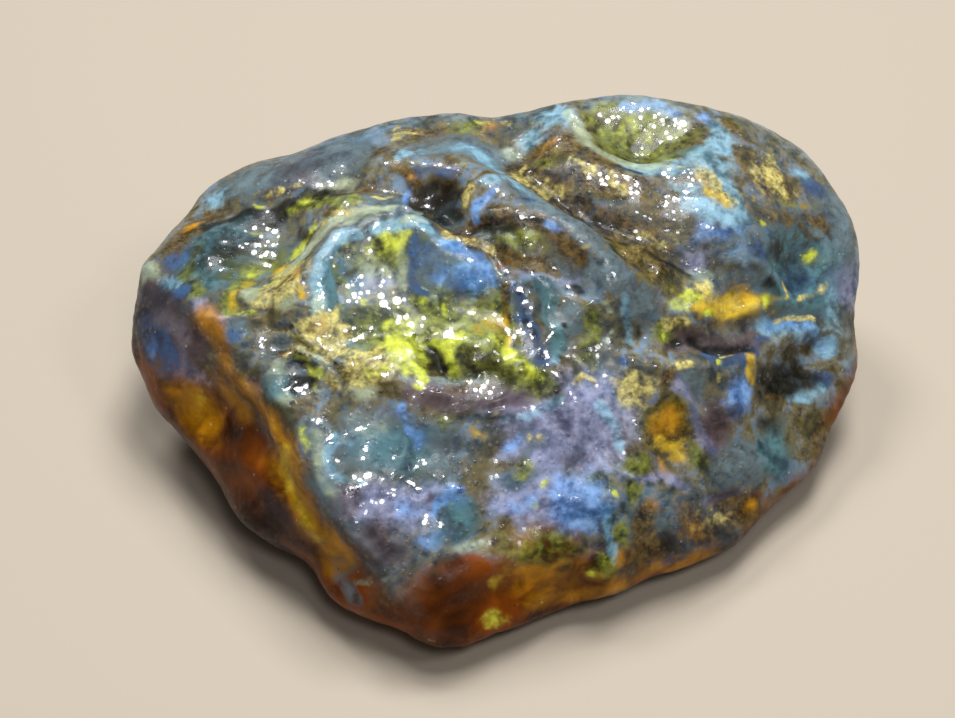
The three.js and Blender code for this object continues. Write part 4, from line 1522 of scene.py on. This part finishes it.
        colour, hides = self.films(bench, swells, *self.ground(bench, swells))
        # Painted shade: the colour darkens towards a near-black brown where the surface lies hollow.
        colour = bench.blend(hollow.rise(0.02, 0.16) * 0.45, colour, self.hollow_shade)
        # Painted highlight: where the surface rises on a ridge, away from the bare resin, the colour
        # pales towards a light blue-grey.
        ridge_lit = (0 - hollow).rise(0.06, 0.22) * (1 - bare)
        colour = bench.blend(ridge_lit * 0.25, colour, self.ridge_highlight)
        colour = bench.blend(pore * swells.fine.rise(0.40, 0.55) * 0.36, colour, self.pore)
        colour = bench.blend(grit * swells.broad.rise(0.42, 0.58) * 0.30, colour, self.grit)
        shade = swells.grain * crust * 1.2 + (1 - crust * 0.6)
        colour = bench.scaled(colour, shade * self.film_depth)
        hides = hides * (swells.fine * 0.4 + 0.8)

        gloss = wet.maximum(bare * self.bare_gloss)
        shiny = (on_bead * (gloss * 0.9 + 0.1)).maximum(on_drop * (wet * 0.2 + 0.8))
        beaded = bare.between(1.0, self.bare_domes)
        coat = shiny * wet.between(self.dry_coat, 1.0) * beaded + self.least_coat
        lively = wet.between(self.dry_height, 1.0)
        relief = swells.fine * (crust * 0.14 + 0.005)
        relief = relief + (beads * lively + drops * 0.7) * beaded
        normal = bench.node("ShaderNodeBump", {}, {"Height": relief, "Distance": MM})

        resin = bench.node(
            "ShaderNodeBsdfPrincipled",
            {},
            {
                "Base Color": self.resin_tint,
                "Roughness": shiny.between(*self.resin_roughness),
                "IOR": self.refraction,
                "Transmission Weight": 1.0,
                "Normal": normal,
            },
        )
        film = bench.node(
            "ShaderNodeBsdfPrincipled",
            {},
            {
                "Base Color": colour,
                "Roughness": gloss.between(*self.film_roughness),
                "IOR": self.refraction,
                "Specular IOR Level": self.film_sheen,
                "Coat Weight": coat,
                "Coat Roughness": self.wet_roughness,
                "Coat IOR": self.wet_refraction,
                "Normal": normal,
            },
        )
        surface = bench.node("ShaderNodeMixShader", {}, {0: hides, 1: resin, 2: film})
        inside = {"Color": self.absorbed, "Density": self.absorption_density}
        volume = bench.node("ShaderNodeVolumeAbsorption", {}, inside)
        bench.finish("ShaderNodeOutputMaterial", {"Surface": surface, "Volume": volume})
        return material


# ------------------------------------------------------------------------------- the lump


@dataclass(frozen=True)
class Weathering:
    """Named sizes for the fine relief that is laid on the solid.

    Attributes:
        kept_share: How many of the solid's triangles are kept. Most that go lie in its flat facet.
        detail: How many times each face is split.
        rounding: How many times the surface is smoothed.
        knuckle_size: How far apart the knuckles are.
        knuckle_height: How far they rise and sink.
        dimple_size: How far apart the dimples are.
        dimple_depth: How deep they are.
        rest_margin: How high above the flat facet the relief is full.
        seed: Which knuckles they are.
    """

    kept_share: float = 0.84
    detail: int = 2
    rounding: int = 8
    knuckle_size: float = 3.0 * MM
    knuckle_height: float = 0.10 * MM
    dimple_size: float = 1.3 * MM
    dimple_depth: float = 0.03 * MM
    rest_margin: float = 0.8 * MM
    seed: float = 11.0


class AmberLump:
    """The whole piece: the solid's form with a fine, weathered surface."""

    MERGE: ClassVar[float] = 0.004 * MM
    HOLLOW_ROUNDS: ClassVar[int] = 24

    def __init__(self, finish: AmberFinish, weathering: Weathering) -> None:
        """Plans the lump.

        Args:
            finish: Its material.
            weathering: Its fine relief.
        """
        self.finish = finish
        self.weathering = weathering
        low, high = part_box(NODE)
        self.box = Box(low, high)

    def rough_copy(self) -> bpy.types.Object:
        """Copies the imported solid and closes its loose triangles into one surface."""
        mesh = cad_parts[NODE].data.copy()
        mesh.materials.clear()
        editable = bmesh.new()
        editable.from_mesh(mesh)
        bmesh.ops.remove_doubles(editable, verts=editable.verts, dist=self.MERGE)
        editable.to_mesh(mesh)
        editable.free()
        lump = bpy.data.objects.new("amber_lump", mesh)
        bpy.context.scene.collection.objects.link(lump)
        return lump

    def relief_tree(self) -> bpy.types.NodeTree:
        """Builds the Geometry Nodes tree that refines, rounds and roughens the surface.

        Returns:
            The tree, with a named input for each size.
        """
        tree = bpy.data.node_groups.new("weathered surface", "GeometryNodeTree")
        face = tree.interface
        face.new_socket("Geometry", in_out="INPUT", socket_type="NodeSocketGeometry")
        for name, kind in (
            ("Detail", "NodeSocketInt"),
            ("Rounding", "NodeSocketInt"),
            ("Knuckle Size", "NodeSocketFloat"),
            ("Knuckle Height", "NodeSocketFloat"),
            ("Dimple Size", "NodeSocketFloat"),
            ("Dimple Depth", "NodeSocketFloat"),
            ("Rest Margin", "NodeSocketFloat"),
            ("Seed", "NodeSocketFloat"),
            ("Material", "NodeSocketMaterial"),
        ):
            face.new_socket(name, in_out="INPUT", socket_type=kind)
        face.new_socket("Geometry", in_out="OUTPUT", socket_type="NodeSocketGeometry")

        bench = Bench(tree)
        given = tree.nodes.new("NodeGroupInput")
        ports = {socket.name: Port(bench, socket) for socket in given.outputs if socket.name}

        finer = bench.node(
            "GeometryNodeSubdivideMesh", {}, {"Mesh": ports["Geometry"], "Level": ports["Detail"]}
        )
        position = bench.node("GeometryNodeInputPosition")
        rounded = bench.node(
            "GeometryNodeBlurAttribute",
            {"data_type": "FLOAT_VECTOR"},
            {"Value": position, "Iterations": ports["Rounding"]},
        )
        smooth = bench.node(
            "GeometryNodeSetPosition", {}, {"Geometry": finer, "Position": rounded}
        )
        knuckles = bench.node(
            "ShaderNodeTexNoise",
            {"noise_dimensions": "4D"},
            {"Vector": position, "W": ports["Seed"], "Scale": 1 / ports["Knuckle Size"], "Detail": 2.0},
        )
        dimples = bench.node(
            "ShaderNodeTexVoronoi",
            {"feature": "SMOOTH_F1"},
            {"Vector": position, "Scale": 1 / ports["Dimple Size"], "Smoothness": 0.5},
            "Distance",
        )
        height = (knuckles - 0.5) * ports["Knuckle Height"] * 2
        height = height - dimples * dimples * 2 * ports["Dimple Depth"]
        level = bench.node("ShaderNodeSeparateXYZ", {}, {"Vector": position}, "Z")
        off_rest = (level / ports["Rest Margin"]).rise(0.1, 1.0)
        normal = bench.node("GeometryNodeInputNormal")
        roughened = bench.node(
            "GeometryNodeSetPosition",
            {},
            {"Geometry": smooth, "Offset": bench.scaled(normal, height * off_rest)},
        )
        shaded = bench.node("GeometryNodeSetShadeSmooth", {}, {"Geometry": roughened})
        real = bench.node("GeometryNodeRealizeInstances", {}, {"Geometry": shaded})
        dressed = bench.node(
            "GeometryNodeSetMaterial", {}, {"Geometry": real, "Material": ports["Material"]}
        )
        bench.finish("NodeGroupOutput", {"Geometry": dressed})
        return tree

    def weather(self, lump: bpy.types.Object, material: bpy.types.Material) -> None:
        """Lays the fine relief on the lump and makes the result its plain mesh.

        Args:
            lump: The object, whose mesh is replaced.
            material: What it is made of.
        """
        tree = self.relief_tree()
        thinner = lump.modifiers.new("thinner flat facet", "DECIMATE")
        thinner.ratio = self.weathering.kept_share
        modifier = lump.modifiers.new("weathering", "NODES")
        modifier.node_group = tree
        values = {
            "Detail": self.weathering.detail,
            "Rounding": self.weathering.rounding,
            "Knuckle Size": self.weathering.knuckle_size,
            "Knuckle Height": self.weathering.knuckle_height,
            "Dimple Size": self.weathering.dimple_size,
            "Dimple Depth": self.weathering.dimple_depth,
            "Rest Margin": self.weathering.rest_margin,
            "Seed": self.weathering.seed,
            "Material": material,
        }
        for socket in tree.interface.items_tree:
            if socket.in_out == "INPUT" and socket.name in values:
                modifier[socket.identifier] = values[socket.name]
        evaluated = lump.evaluated_get(bpy.context.evaluated_depsgraph_get())
        mesh = bpy.data.meshes.new_from_object(evaluated)
        lump.modifiers.clear()
        lump.data = mesh
        mesh.name = "amber_lump"

    def mark(self, mesh: bpy.types.Mesh) -> None:
        """Keeps every layer of marks, and how hollow the surface is, on the mesh."""
        skin = Skin(mesh, self.box)
        skin.dent()
        crust = np.zeros(len(skin.points))
        for layer in Layer:
            strength = skin.layer_strength(layer)
            skin.store(layer.value, strength)
            if layer in TINTS:
                laid = np.clip(strength * 2 - 0.5, 0, 1)
                crust += (TINTS[layer].crust - crust) * laid
        skin.store("crust", crust)
        skin.store("hollow", skin.hollowness(self.HOLLOW_ROUNDS))

    def build(self) -> bpy.types.Object:
        """Makes the lump.

        Returns:
            The finished piece, in place of the solid.
        """
        lump = self.rough_copy()
        self.weather(lump, self.finish.build())
        self.mark(lump.data)
        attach(lump, BODY)
        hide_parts(NODE)
        log.info("lump: %d points, %d faces", len(lump.data.vertices), len(lump.data.polygons))
        return lump


# ------------------------------------------------------------------------------ the studio


@dataclass(frozen=True)
class Lamp:
    """A round lamp: where it hangs, in metres from the lump, its width, power and tint."""

    name: str
    offset: Place
    width: float
    power: float
    tint: tuple[float, float, float] = (0.96, 0.96, 1.0)


@dataclass(frozen=True)
class Studio:
    """A pale floor, soft light and the camera.

    Attributes:
        box: The lump's box.
        aim: Where the camera looks, in shares of the box.
        elevation: How steeply it looks down, in degrees.
        distance: How far it is from there, in metres.
        lens: Its focal length, in millimetres.
        floor_side: The floor's side, in metres.
        floor_colour: The floor's colour.
        floor_roughness: The floor's roughness.
        sky_colour: The colour of the light from all round.
        sky: The strength of that light.
        lamps: The lamps.
    """

    box: Box
    aim: Place = (0.472, 0.530, 0.422)
    elevation: float = 50.0
    distance: float = 0.230
    lens: float = 115.0
    floor_side: float = 4.0
    floor_colour: Colour = srgb("#a29785")
    floor_roughness: float = 0.7
    sky_colour: Colour = (0.9, 0.95, 1.0, 1.0)
    sky: float = 0.10
    lamps: tuple[Lamp, ...] = (
        Lamp("back lamp", (0.054, 0.126, 0.331), 0.124, 0.96),
        Lamp("middle lamp", (0.036, 0.018, 0.356), 0.108, 0.66),
        Lamp("front lamp", (0.036, -0.180, 0.306), 0.074, 0.26),
        Lamp("right lamp", (0.162, -0.108, 0.299), 0.070, 0.22),
        Lamp("left lamp", (-0.108, 0.162, 0.306), 0.108, 0.70),
    )

    def build_floor(self) -> None:
        """Lays the floor."""
        half = self.floor_side / 2
        corners = [(-half, -half, 0), (half, -half, 0), (half, half, 0), (-half, half, 0)]
        mesh = bpy.data.meshes.new("floor")
        mesh.from_pydata(corners, [], [(0, 1, 2, 3)])
        material = bpy.data.materials.new("pale floor")
        material.use_nodes = True
        shader = material.node_tree.nodes["Principled BSDF"]
        shader.inputs["Base Color"].default_value = self.floor_colour
        shader.inputs["Roughness"].default_value = self.floor_roughness
        mesh.materials.append(material)
        floor = bpy.data.objects.new("floor", mesh)
        bpy.context.scene.collection.objects.link(floor)

    def build_lamps(self) -> None:
        """Hangs the lamps and lights the room."""
        middle = self.box.at((0.5, 0.5, 0.5))
        for lamp in self.lamps:
            light = bpy.data.lights.new(lamp.name, "AREA")
            light.shape = "DISK"
            light.size = lamp.width
            light.energy = lamp.power
            light.color = lamp.tint
            thing = bpy.data.objects.new(lamp.name, light)
            thing.location = middle + Vector(lamp.offset)
            thing.rotation_euler = (-Vector(lamp.offset)).to_track_quat("-Z", "Y").to_euler()
            bpy.context.scene.collection.objects.link(thing)
        world = bpy.data.worlds.new("soft room")
        world.use_nodes = True
        background = world.node_tree.nodes["Background"]
        background.inputs["Color"].default_value = self.sky_colour
        background.inputs["Strength"].default_value = self.sky
        bpy.context.scene.world = world

    def build_camera(self) -> None:
        """Sets up the camera, which looks along +Y and down."""
        target = self.box.at(self.aim)
        angle = math.radians(self.elevation)
        back = Vector((0.0, -math.cos(angle), math.sin(angle)))
        camera = bpy.data.cameras.new("camera")
        camera.lens = self.lens
        camera.clip_start = 0.01
        thing = bpy.data.objects.new("camera", camera)
        thing.location = target + back * self.distance
        thing.rotation_euler = (-back).to_track_quat("-Z", "Y").to_euler()
        bpy.context.scene.collection.objects.link(thing)
        bpy.context.scene.camera = thing

    def build(self) -> None:
        """Builds the whole studio."""
        self.build_camera()
        self.build_floor()
        self.build_lamps()
        bpy.context.scene.view_settings.view_transform = "Standard"
        log.info("studio: %d lamps", len(self.lamps))


def main() -> None:
    """Builds the studio and the lump, which notes how many points and faces it has."""
    logging.basicConfig(level=logging.INFO, format="%(name)s: %(message)s")
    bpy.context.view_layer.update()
    low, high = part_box(NODE)
    Studio(Box(low, high)).build()
    AmberLump(AmberFinish(), Weathering()).build()


if __name__ == "__main__":
    main()
